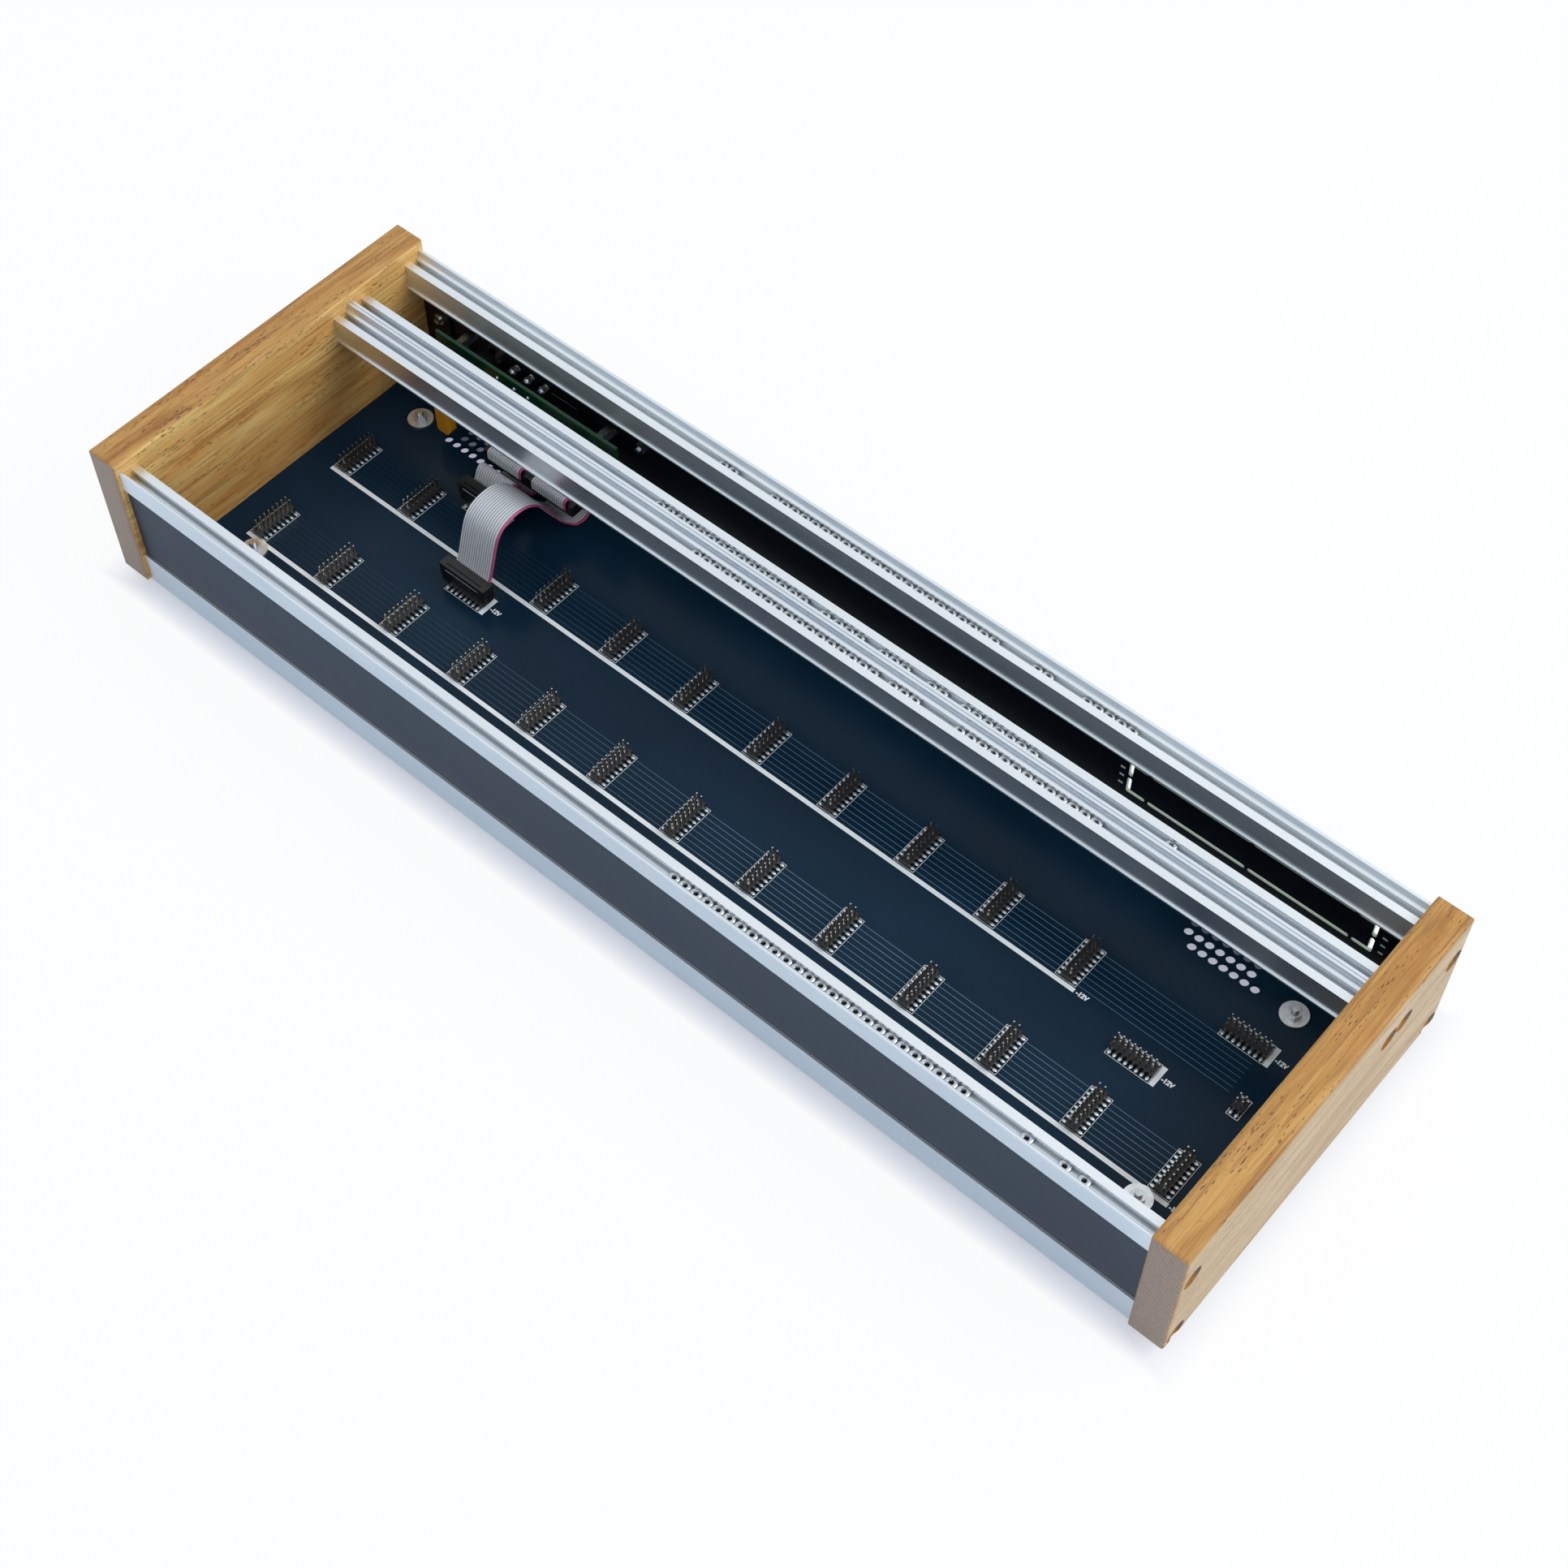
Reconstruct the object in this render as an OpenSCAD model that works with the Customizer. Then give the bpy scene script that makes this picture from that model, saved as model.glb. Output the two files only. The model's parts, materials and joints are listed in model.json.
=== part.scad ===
// Desktop card cage for plug-in synthesiser modules.
// One tall and one short module row share four slotted rails between wooden cheeks.
// A bus board forms the floor, and a small power board hangs behind the short row.
// Millimetres. X runs along the rails, Y from front to back, Z up.

/* [Case] */
// Length of the module bay in units of 5.08 mm
bay_units = 104; // [84:4:126]
// Screw pitch of the tall module row, front rail to middle rail
tall_row_pitch = 122.5; // [118:0.5:140]
// Screw pitch of the short module row, middle rail to rear rail
short_row_pitch = 33.65; // [33.4:0.05:44]
// Height of the wooden cheeks
cheek_h = 73.5; // [72:0.5:84]
// Thickness of the wooden cheeks
cheek_t = 16; // [15:0.5:22]
// Radius on the edges of the cheeks
cheek_edge_r = 2; // [1:0.25:3]
// Distance by which the cheeks stand proud of the rails
cheek_proud = 2.1; // [2:0.1:4]

/* [Rails] */
// Width of every rail, front to back
rail_w = 10.1; // [10.1:0.1:11]
// Height of the outer ridge above the foot flange
rail_h = 16.8; // [16.4:0.1:18]
// Width of the slot that shows the nuts
nut_slot_w = 3.2; // [3.2:0.1:3.6]
// Distance from the opening face to the nut line
nut_line = 5.2; // [5.1:0.1:5.3]

/* [Nuts] */
// Side of one square nut
nut_side = 5.4; // [5.2:0.1:5.4]
// Thickness of one square nut
nut_t = 1.8; // [1.6:0.1:2]
// Tapping bore of the nuts
nut_bore = 2.5; // [2.4:0.1:2.7]

/* [Boards] */
// Thickness of the bus board and of both panels
sheet_t = 1.6; // [1.4:0.1:1.6]
// Length of rail served by one header, in bay units
header_units = 8; // [8:1:10]
// Distance between the two rows of headers
header_row_pitch = 50.8; // [48:0.4:54]
// Diameter of the vent holes
vent_d = 4; // [3:0.25:4.25]

/* [Feet] */
// Diameter of the rubber feet
foot_d = 15; // [13:0.5:16]
// Distance by which the feet lift the cheeks
foot_drop = 4; // [3:0.5:8]

/* [Ribbons] */
// Thickness of the ribbon cable
ribbon_t = 0.9; // [0.8:0.05:1]
// Number of cores in a ribbon cable
ribbon_cores = 16; // [14:2:16]

/* [Hidden] */

$fn = 48;
unit = 5.08;
pin_pitch = 2.54;
fit = 0.1;           // running clearance between parts that slide together
snug = 0.03;         // clearance of pressed parts
over = 1;            // extra length of a cutting tool

// Frame of the case: X from the left cheek, Y from the cheek fronts, Z from the cheek undersides
bay_len = bay_units * unit;
front_opening_y = cheek_proud + rail_w;
middle_front_y = front_opening_y + tall_row_pitch - 2 * nut_line;
middle_rear_y = middle_front_y + 2 * rail_w + fit;
rear_opening_y = middle_rear_y + short_row_pitch - 2 * nut_line;
rear_rail_back = rear_opening_y + rail_w;
case_d = rear_rail_back + cheek_proud;

// Rail section, measured from the opening face and from the foot flange
cheek_over_rail = 4.2;
rail_z = cheek_h - cheek_over_rail - rail_h;
rail_wall = 1.6;
flange_out = 0.7;
flange_t = 0.8;
lip_z = 13.1;
ledge_z = 12.6;
channel_w = nut_side + 2 * fit;
channel_z = 9.4;
channel_h = nut_t + 3 * fit;
plate_z = 6.3;
plate_t = 1.2;
panel_slot = sheet_t + 2 * fit;
slot_top_z = 8.4;
core_y = 5.1;
core_z = -0.5;
core_bore = 3.2;
core_boss = 4.9;
pocket_z = 3.2;
cove_r = 1.6;

// Lower rail section, in the height frame of the case
low_z0 = 0.5;
low_z1 = 16.8;
low_core_z = 5.5;
low_wall_z = 14;
board_z = 3;
board_grip = 2.6;
board_top = board_z + sheet_t;
panel_foot_z = 8.6;
panel_top_z = rail_z + slot_top_z - 3 * fit;

// Sheets held by the rails
front_panel_y = cheek_proud + plate_t + fit;
back_panel_y = rear_rail_back - plate_t - fit - sheet_t;
board_front_y = front_opening_y - board_grip + fit;
board_back_y = rear_opening_y + board_grip - fit;

// Cheek screws
screw_shank = 3.1;
screw_hole = 4.2;
screw_head_d = 7.6;
screw_head_h = 2.6;
screw_sink = 6;
sink_d = 10.2;
screw_bite = 14;

// Groups of sliding nuts on each rail: distance of the group from the left, number of nuts
nut_pitch = nut_side + fit;
front_nut_groups = [[303.5, 26], [469, 1], [485.5, 1], [494, 1]];
middle_front_groups = [[205, 18], [308.5, 3], [342, 13]];
middle_rear_groups = [[176, 2], [187.5, 13], [265.3, 1], [272.2, 3], [295.5, 3], [320, 2], [337, 7],
    [435.5, 1]];
rear_nut_groups = [[181.2, 2], [209.5, 22], [346.5, 2], [371, 5]];

// Headers on the bus board
header_len = 8 * pin_pitch;
base_w = 2 * pin_pitch;
base_h = 2.5;
base_lift = 0.6;
pin_w = 0.64;
pin_top = 8.4;
lead_reach = 4.3;
lead_t = 0.5;
header_count = floor(bay_units / header_units);
header_step = header_units * unit;
front_row_in = 45.1;
front_row_y = front_opening_y + front_row_in;
rear_row_y = front_row_y + header_row_pitch;

// Headers that stand crosswise: distance from the nearer end, distance behind the nearer row
socket_front_x = 113.8;
socket_front_out = 27.1;
socket_front_y = front_row_y + socket_front_out;
socket_rear_x = 86.9;
socket_rear_out = 14.3;
socket_rear_y = rear_row_y + socket_rear_out;
spare_a_in = 60.7;
spare_a_out = 29.7;
spare_a_x = bay_len - spare_a_in;
spare_a_y = front_row_y + spare_a_out;
spare_b_in = 32.5;
spare_b_out = 13.8;
spare_b_x = bay_len - spare_b_in;
spare_b_y = rear_row_y + spare_b_out;
small_in = 18.2;
small_out = 38.7;
small_x = bay_len - small_in;
small_y = front_row_y + small_out;

// Feet
foot_x = 25;
foot_front_in = 28.3;
foot_rear_in = 25;
foot_front_y = front_opening_y + foot_front_in;
foot_rear_y = rear_opening_y - foot_rear_in;
m3_d = 3;
m3_hole = 3.4;
nut_af = 5.5;
nut_h = 2.4;
short_screw = 7;

// Vent holes of the bus board
vent_x = 43.1;
vent_pitch = 5;
vent_rows = 3;
vent_columns = 7;

// Power unit on the back panel; its heights follow the opening behind it
cut_x = 16;
cut_w = 113.7;
cut_h = 19;
cut_over_middle = 2.4;
cut_z = (panel_foot_z + panel_top_z - cut_h) / 2 + cut_over_middle;
cut_corner_r = 1;
spare_w = 116.6;
spare_h = 20;
spare_right = 14.9;
spare_under_middle = 2.7;
spare_z = (panel_foot_z + panel_top_z - spare_h) / 2 - spare_under_middle;
slit_w = 2;
slit_tab = 1.4;
tab_in = 9.9;
plate_margin = 10;
plate_rise = 6;
plate_corner_r = 2;
plate_sheet = 1.2;
plate_screw_left = 4;
plate_screw_right = 4.6;
plate_y = back_panel_y + sheet_t;
power_gap = 17;
power_board_y = back_panel_y - power_gap - sheet_t;
power_left = 12;
power_right = 7.3;
power_rise = 6.3;
power_x0 = cut_x + power_left;
power_x1 = cut_x + cut_w + power_right;
power_z0 = 8.5;
power_z1 = cut_z + cut_h + power_rise;
jack_x = 44.5;
jack_rise = 6.7;
jack_z = cut_z + jack_rise;
jack_d = 12.6;
barrel_d = 8;
barrel_bore = 5.6;
barrel_depth = 6;
barrel_pin = 2;
ring_d = 11.6;
ring_reach = 4;
led_x = 57.1;
led_step = 9;
led_rise = 5.7;
led_z = cut_z + led_rise;
led_d = 3;
led_rim_d = 3.8;
led_lead = 0.5;
spacer_left = 18;
spacer_right = 9.7;
spacer_xs = [cut_x + spacer_left, cut_x + cut_w - spacer_right];
spacer_drop = 5.5;
spacer_z = cut_z + cut_h - spacer_drop;
power_socket_z = 21.5;

// Sockets and their ribbons
socket_len = 24.9;
socket_w = 6.1;
socket_body_h = 7.1;
cap_len = 26.6;
cap_h = 2.2;
cap_step = 3;
cap_leg = socket_body_h - cap_step;
groove_w = 0.8;
groove_h = 0.5;
groove_in = 1.4;
socket_roof = 0.7;
ribbon_w = ribbon_cores * 1.27;
ribbon_slit = ribbon_t + 2 * snug;
box_len = 26.6;
box_w = 9;
box_h = 12;
box_floor = 9.2;
socket_seat = box_floor + fit;
bus_socket_z = board_top + base_lift + base_h + snug;
clamp_z = bus_socket_z + socket_body_h + ribbon_slit / 2;
clamp_y = power_board_y - socket_seat - socket_body_h - ribbon_slit / 2;

// Routes as [Y, Z]; each end is tied to its own socket
arch_front = [[-2.9, 0], [0, 0], [2.3, 0], [3.3, 0.02], [4.3, 0.5], [5.3, 1.9], [6.8, 6], [11.2, 19],
    [14.6, 24.2], [19, 26.6], [24.2, 27.3], [30, 26.4], [36, 22.6], [40.8, 16.6], [44.7, 9], [49.4, 0.6]];
arch_rear = [[-2.9, 0], [0, 0], [2.3, 0], [3.3, 0.02], [4.3, 0.5], [5.2, 1.8], [6.5, 4.9], [8.8, 6.6],
    [11.4, 4.6], [14, -1]];
tail_route = [[1.6, -14], [4.6, -15.5], [8, -15.8], [11.4, -14], [12.6, -10.6], [10.6, -7.6],
    [6.6, -6.8], [2.6, -6.6], [0.8, -5.7], [0.1, -4.4], [0, -3.2], [0, 0], [0, 2.3], [-0.02, 3.3],
    [-0.5, 4.5], [-1.65, 5], [-2.85, 4.5], [-3.3, 3.3], [-3.3, 1.6], [-3.3, 0]];

function route_at(points, origin) = [for (p = points) p + origin];

function curve_point(a, b, c, d, t) =
    0.5 * (2 * b + (c - a) * t + (2 * a - 5 * b + 4 * c - d) * t * t
    + (3 * b - a - 3 * c + d) * t * t * t);

function curve(points, steps = 6) = [
    for (i = [0 : len(points) - 2], k = [0 : steps - 1])
        curve_point(points[max(i - 1, 0)], points[i], points[i + 1],
            points[min(i + 2, len(points) - 1)], k / steps),
    points[len(points) - 1]
];

function side_of(path, shift) = [
    for (i = [0 : len(path) - 1])
        let (step = path[min(i + 1, len(path) - 1)] - path[max(i - 1, 0)])
            path[i] + shift * [-step[1], step[0]] / norm(step)
];

function backwards(list) = [for (i = [len(list) - 1 : -1 : 0]) list[i]];

// Puts the case frame into the frame of the model, which stands on its feet
module in_case() {
    translate([-bay_len / 2, -case_d / 2, foot_drop])
        children();
}

// Extrudes a drawing of Y and Z along X
module along_x(length) {
    rotate([90, 0, 90])
        linear_extrude(length)
            children();
}

// Extrudes a drawing of X and Z along Y
module along_y(length) {
    translate([0, length, 0])
        rotate([90, 0, 0])
            linear_extrude(length)
                children();
}

module rounded_rect(w, h, r) {
    translate([r, 0])
        square([w - 2 * r, h]);
    translate([0, r])
        square([w, h - 2 * r]);
    for (x = [r, w - r], y = [r, h - r])
        translate([x, y])
            circle(r);
}

// Straight slit with round ends, lying along X or standing along Y
module slit(x0, x1, y0, y1) {
    if (x1 - x0 > y1 - y0) {
        r = (y1 - y0) / 2;
        translate([x0 + r, y0])
            square([x1 - x0 - 2 * r, 2 * r]);
        for (x = [x0 + r, x1 - r])
            translate([x, y0 + r])
                circle(r);
    } else {
        r = (x1 - x0) / 2;
        translate([x0, y0 + r])
            square([2 * r, y1 - y0 - 2 * r]);
        for (y = [y0 + r, y1 - r])
            translate([x0 + r, y])
                circle(r);
    }
}

// Places of the cheek screws as [Y, Z]
cheek_screw_places = [
    [front_opening_y - core_y, rail_z + core_z],
    [middle_front_y + core_y, rail_z + core_z],
    [middle_rear_y - core_y, rail_z + core_z],
    [rear_opening_y + core_y, rail_z + core_z],
    [front_opening_y - core_y, low_core_z],
    [rear_opening_y + core_y, low_core_z]
];

// Left cheek: outer face at X = -cheek_t, inner face at X = 0
module cheek() {
    difference() {
        intersection() {
            translate([-cheek_t, 0, 0])
                along_x(cheek_t)
                    rounded_rect(case_d, cheek_h, cheek_edge_r);
            translate([-cheek_t, 0, 0])
                along_y(case_d)
                    rounded_rect(cheek_t, cheek_h, cheek_edge_r);
            translate([-cheek_t, 0, 0])
                linear_extrude(cheek_h)
                    rounded_rect(cheek_t, case_d, cheek_edge_r);
        }
        for (p = cheek_screw_places)
            translate([0, p[0], p[1]])
                rotate([0, -90, 0]) {
                    translate([0, 0, -over])
                        cylinder(d = screw_hole, h = cheek_t + 2 * over);
                    translate([0, 0, cheek_t - screw_sink])
                        cylinder(d = sink_d, h = screw_sink + over);
                }
    }
}

module to_right_end() {
    translate([bay_len, 0, 0])
        mirror([1, 0, 0])
            children();
}

module left_cheek() {
    color("peru")
        in_case()
            cheek();
}

module right_cheek() {
    color("peru")
        in_case()
            to_right_end()
                cheek();
}

// Rail section: Y from the opening face outwards, Z from the foot flange
module rail_section() {
    difference() {
        union() {
            translate([-flange_out, 0])
                square([flange_out + rail_wall, flange_t]);
            translate([0, 0])
                square([rail_w - plate_t - panel_slot, lip_z]);
            translate([rail_w - plate_t - panel_slot - over, slot_top_z])
                square([panel_slot + 2 * over, ledge_z - slot_top_z]);
            translate([rail_w - plate_t, plate_z])
                square([plate_t, rail_h - plate_z - plate_t / 2]);
            translate([rail_w - plate_t, slot_top_z])
                square([plate_t, ledge_z - slot_top_z]);
            translate([rail_w - rail_wall / 2, rail_h - rail_wall / 2])
                circle(d = rail_wall);
            translate([rail_w - rail_wall, ledge_z - over])
                square([rail_wall, rail_h - rail_wall / 2 - ledge_z + over]);
            intersection() {
                translate([core_y, core_z])
                    circle(d = core_boss);
                translate([0, core_z - core_boss])
                    square([rail_w - plate_t - panel_slot, 2 * core_boss]);
            }
        }
        // slot that shows the nuts, and the channel they slide in
        translate([nut_line - nut_slot_w / 2, channel_z])
            square([nut_slot_w, rail_h]);
        translate([nut_line - channel_w / 2, channel_z])
            square([channel_w, channel_h]);
        // outer half of the lip sits lower, down to the ledge
        translate([nut_line, ledge_z])
            square([rail_w - rail_wall - nut_line, rail_h]);
        // light pocket below the channel
        translate([rail_wall, pocket_z])
            square([rail_w - plate_t - panel_slot - 2 * rail_wall, channel_z - pocket_z - rail_wall]);
        translate([core_y, core_z])
            circle(d = core_bore);
    }
    // cove between the ledge and the outer ridge
    difference() {
        translate([rail_w - rail_wall - cove_r, ledge_z - snug])
            square([cove_r + fit, cove_r]);
        translate([rail_w - rail_wall - cove_r, ledge_z + cove_r])
            circle(r = cove_r);
    }
}

module upper_rail(opening_y, outward) {
    translate([fit / 2, opening_y, rail_z])
        mirror([0, outward < 0 ? 1 : 0, 0])
            along_x(bay_len - fit)
                rail_section();
}

module front_upper_rail() {
    color("gainsboro")
        in_case()
            upper_rail(front_opening_y, -1);
}

module middle_front_rail() {
    color("gainsboro")
        in_case()
            upper_rail(middle_front_y, 1);
}

module middle_rear_rail() {
    color("gainsboro")
        in_case()
            upper_rail(middle_rear_y, -1);
}

module rear_upper_rail() {
    color("gainsboro")
        in_case()
            upper_rail(rear_opening_y, 1);
}

// Lower rail section: Y from the opening face outwards, Z in the case frame
module lower_rail_section() {
    inner_wall_y = rail_w - plate_t - panel_slot - rail_wall;
    difference() {
        union() {
            translate([0, low_z0])
                square([rail_w, board_z - low_z0 - fit / 2]);
            translate([board_grip, low_z0])
                square([rail_w - board_grip, panel_foot_z - low_z0 - fit]);
            translate([0, board_top + fit / 2])
                square([board_grip + over, rail_wall]);
            translate([inner_wall_y, low_z0])
                square([rail_wall, low_wall_z - low_z0]);
            translate([rail_w - plate_t, low_z0])
                square([plate_t, low_z1 - low_z0]);
        }
        translate([core_y, low_core_z])
            circle(d = core_bore);
    }
}

module lower_rail(opening_y, outward) {
    translate([fit / 2, opening_y, 0])
        mirror([0, outward < 0 ? 1 : 0, 0])
            along_x(bay_len - fit)
                lower_rail_section();
}

module front_lower_rail() {
    color("lightsteelblue")
        in_case()
            lower_rail(front_opening_y, -1);
}

module rear_lower_rail() {
    color("lightsteelblue")
        in_case()
            lower_rail(rear_opening_y, 1);
}

// Blank panel standing in the rail slots
module panel_outline() {
    translate([fit, panel_foot_z])
        square([bay_len - 2 * fit, panel_top_z - panel_foot_z]);
}

module front_panel() {
    color("dimgray")
        in_case()
            translate([0, front_panel_y, 0])
                along_y(sheet_t)
                    panel_outline();
}

// Routed slits round a knock-out, with tabs left near the corners and in the middle
module knock_out() {
    stops = [-slit_tab / 2, tab_in, spare_w / 2, spare_w - tab_in, spare_w + slit_tab / 2];
    for (z = [0, spare_h - slit_w], i = [0 : len(stops) - 2])
        slit(stops[i] + slit_tab / 2, stops[i + 1] - slit_tab / 2, z, z + slit_w);
    for (x = [0, spare_w - slit_w]) {
        slit(x, x + slit_w, 0, (spare_h - slit_tab) / 2);
        slit(x, x + slit_w, (spare_h + slit_tab) / 2, spare_h);
    }
}

plate_screw_xs = [cut_x - plate_screw_left, cut_x + cut_w + plate_screw_right];
plate_screw_z = cut_z + cut_h / 2;

module back_panel() {
    color("dimgray")
        in_case()
            translate([0, back_panel_y, 0])
                difference() {
                    along_y(sheet_t)
                        difference() {
                            panel_outline();
                            translate([cut_x, cut_z])
                                rounded_rect(cut_w, cut_h, cut_corner_r);
                            translate([bay_len - spare_right - spare_w, spare_z])
                                knock_out();
                        }
                    for (x = plate_screw_xs)
                        translate([x, -over, plate_screw_z])
                            rotate([-90, 0, 0])
                                cylinder(d = m3_hole, h = sheet_t + 2 * over);
                }
}

foot_places = [
    for (x = [foot_x, bay_len - foot_x], y = [foot_front_y, foot_rear_y]) [x, y]
];

// Vent holes near one end: three rows, the first one set a hole further in
module vent_group() {
    for (row = [0 : vent_rows - 1], k = [0 : vent_columns - 1])
        translate([vent_x + (k + (row == 0 ? 0 : 1)) * vent_pitch, foot_rear_y + row * vent_pitch])
            circle(d = vent_d);
}

module bus_board() {
    color("midnightblue")
        in_case()
            translate([0, 0, board_z])
                linear_extrude(sheet_t)
                    difference() {
                        translate([fit, board_front_y])
                            square([bay_len - 2 * fit, board_back_y - board_front_y]);
                        for (p = foot_places)
                            translate(p)
                                circle(d = m3_hole);
                        vent_group();
                        translate([bay_len, 0])
                            mirror([1, 0])
                                vent_group();
                    }
}

// Places of the eight by two headers as [X, Y, turn]
header_places = concat(
    [for (k = [0 : header_count - 1]) [(k + 0.5) * header_step, front_row_y, 90]],
    [for (k = [0 : header_count - 3]) if (k != 2) [(k + 0.5) * header_step, rear_row_y, 90]],
    [
        [socket_front_x, socket_front_y, 0],
        [socket_rear_x, socket_rear_y, 0],
        [spare_a_x, spare_a_y, 0],
        [spare_b_x, spare_b_y, 0]
    ]
);

module at_headers() {
    for (p = header_places)
        translate([p[0], p[1], board_top])
            rotate([0, 0, p[2]])
                children();
}

function pin_xs(columns) = [for (i = [0 : columns - 1]) (i - (columns - 1) / 2) * pin_pitch];

// Header base with one square hole for each pin
module header_base(columns) {
    translate([0, 0, base_lift])
        linear_extrude(base_h)
            difference() {
                square([columns * pin_pitch, base_w], center = true);
                for (x = pin_xs(columns), y = [-pin_pitch / 2, pin_pitch / 2])
                    translate([x, y])
                        square(pin_w + 2 * snug, center = true);
            }
}

// Two rows of pins, each bent outwards at its foot
module header_pin_rows(columns) {
    for (x = pin_xs(columns), turn = [0, 180])
        rotate([0, 0, turn])
            translate([x - pin_w / 2, pin_pitch / 2, 0])
                along_x(pin_w)
                    union() {
                        translate([-pin_w / 2, 0])
                            square([pin_w, pin_top]);
                        square([lead_reach - pin_pitch / 2, lead_t]);
                    }
}

module header_bases() {
    color("black")
        in_case() {
            at_headers()
                header_base(8);
            translate([small_x, small_y, board_top])
                header_base(2);
        }
}

module header_pins() {
    color("silver")
        in_case() {
            at_headers()
                header_pin_rows(8);
            translate([small_x, small_y, board_top])
                header_pin_rows(2);
        }
}

// Power unit: plate behind the panel, board in front of it
led_xs = [for (k = [0 : 2]) led_x + k * led_step];

module power_plate() {
    color("silver")
        in_case()
            translate([0, plate_y, 0])
                along_y(plate_sheet)
                    difference() {
                        translate([cut_x - plate_margin, cut_z - plate_rise])
                            rounded_rect(cut_w + 2 * plate_margin, cut_h + 2 * plate_rise,
                                plate_corner_r);
                        for (x = plate_screw_xs)
                            translate([x, plate_screw_z])
                                circle(d = m3_hole);
                        for (x = spacer_xs)
                            translate([x, spacer_z])
                                circle(d = m3_hole);
                        translate([jack_x, jack_z])
                            circle(d = barrel_d + 4 * fit);
                        for (x = led_xs)
                            translate([x, led_z])
                                circle(d = led_d + 2 * fit);
                    }
}

module power_board() {
    color("darkgreen")
        in_case()
            translate([0, power_board_y, 0])
                along_y(sheet_t)
                    difference() {
                        translate([power_x0, power_z0])
                            square([power_x1 - power_x0, power_z1 - power_z0]);
                        for (x = spacer_xs)
                            translate([x, spacer_z])
                                circle(d = m3_hole);
                    }
}

// Turns a part that stands on a board so that it stands on the power board, facing forwards
module on_power_board(x) {
    translate([x, power_board_y, power_socket_z])
        rotate([90, 0, 0])
            children();
}

// Box header: a floor and four walls round the pins
module box_header() {
    difference() {
        translate([-box_len / 2, -box_w / 2, 0])
            cube([box_len, box_w, box_h]);
        translate([-socket_len / 2 - fit, -socket_w / 2 - fit, box_floor])
            cube([socket_len + 2 * fit, socket_w + 2 * fit, box_h]);
        linear_extrude(box_floor + over)
            for (x = pin_xs(8), y = [-pin_pitch / 2, pin_pitch / 2])
                translate([x, y])
                    square(pin_w + 2 * snug, center = true);
    }
}

power_socket_xs = [socket_front_x, socket_rear_x];

module power_headers() {
    color("black")
        in_case()
            for (x = power_socket_xs)
                on_power_board(x)
                    box_header();
}

module power_header_pins() {
    color("silver")
        in_case()
            for (x = power_socket_xs)
                on_power_board(x)
                    linear_extrude(box_floor + pin_top - base_h)
                        for (px = pin_xs(8), y = [-pin_pitch / 2, pin_pitch / 2])
                            translate([px, y])
                                square(pin_w, center = true);
}

// Coaxial power inlet: body on the board, barrel through the plate
module power_jack() {
    body_len = back_panel_y - power_board_y - sheet_t - ring_reach;
    color("black")
        in_case()
            translate([jack_x, power_board_y + sheet_t, jack_z])
                rotate([-90, 0, 0])
                    difference() {
                        union() {
                            cylinder(d = jack_d, h = body_len);
                            cylinder(d = barrel_d, h = plate_y + plate_sheet - power_board_y - sheet_t);
                        }
                        translate([0, 0, body_len - barrel_depth])
                            difference() {
                                cylinder(d = barrel_bore, h = power_gap);
                                translate([0, 0, -over])
                                    cylinder(d = barrel_pin, h = 2 * barrel_depth);
                            }
                    }
}

module jack_ring() {
    color("silver")
        in_case()
            translate([jack_x, back_panel_y - ring_reach + fit, jack_z])
                rotate([-90, 0, 0])
                    difference() {
                        cylinder(d = ring_d, h = ring_reach + sheet_t - fit);
                        translate([0, 0, -over])
                            cylinder(d = barrel_d + 2 * snug, h = ring_reach + sheet_t + 2 * over);
                    }
}

led_body = 4.2;
led_rim = 1;
led_tip_y = plate_y + 0.6;

module indicator_leds() {
    color("white", 0.6)
        in_case()
            for (x = led_xs)
                translate([x, led_tip_y, led_z])
                    rotate([90, 0, 0]) {
                        sphere(d = led_d);
                        cylinder(d = led_d, h = led_body);
                        translate([0, 0, led_body - led_rim])
                            cylinder(d = led_rim_d, h = led_rim);
                    }
}

module led_leads() {
    color("silver")
        in_case()
            for (x = led_xs, side = [-1, 1])
                translate([
                    x + (side * pin_pitch - led_lead) / 2, power_board_y + sheet_t, led_z - led_lead / 2
                ])
                    cube([led_lead, led_tip_y - led_body - power_board_y - sheet_t, led_lead]);
}

// Dipped film capacitor standing off the power board on its leads
capacitor_x = 43;
capacitor_z = 18;
capacitor_w = 9;
capacitor_h = 13.5;
capacitor_depth = 6;
capacitor_stand = 16.5;
capacitor_y = power_board_y - capacitor_stand;
capacitor_r = 2;
capacitor_lead = 0.6;
capacitor_lead_pitch = 5;

module film_capacitor() {
    color("gold")
        in_case()
            intersection() {
                translate([capacitor_x - capacitor_w / 2, capacitor_y, capacitor_z - capacitor_h / 2])
                    along_y(capacitor_depth)
                        rounded_rect(capacitor_w, capacitor_h, capacitor_r + capacitor_lead);
                translate([capacitor_x - capacitor_w / 2, capacitor_y, capacitor_z - capacitor_h])
                    linear_extrude(2 * capacitor_h)
                        rounded_rect(capacitor_w, capacitor_depth, capacitor_r);
            }
}

module capacitor_leads() {
    lead_y = capacitor_y + capacitor_depth;
    color("silver")
        in_case()
            for (side = [-1, 1])
                translate([
                    capacitor_x - capacitor_lead / 2, lead_y,
                    capacitor_z + (side * capacitor_lead_pitch - capacitor_lead) / 2
                ])
                    cube([capacitor_lead, power_board_y - lead_y, capacitor_lead]);
}

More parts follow.
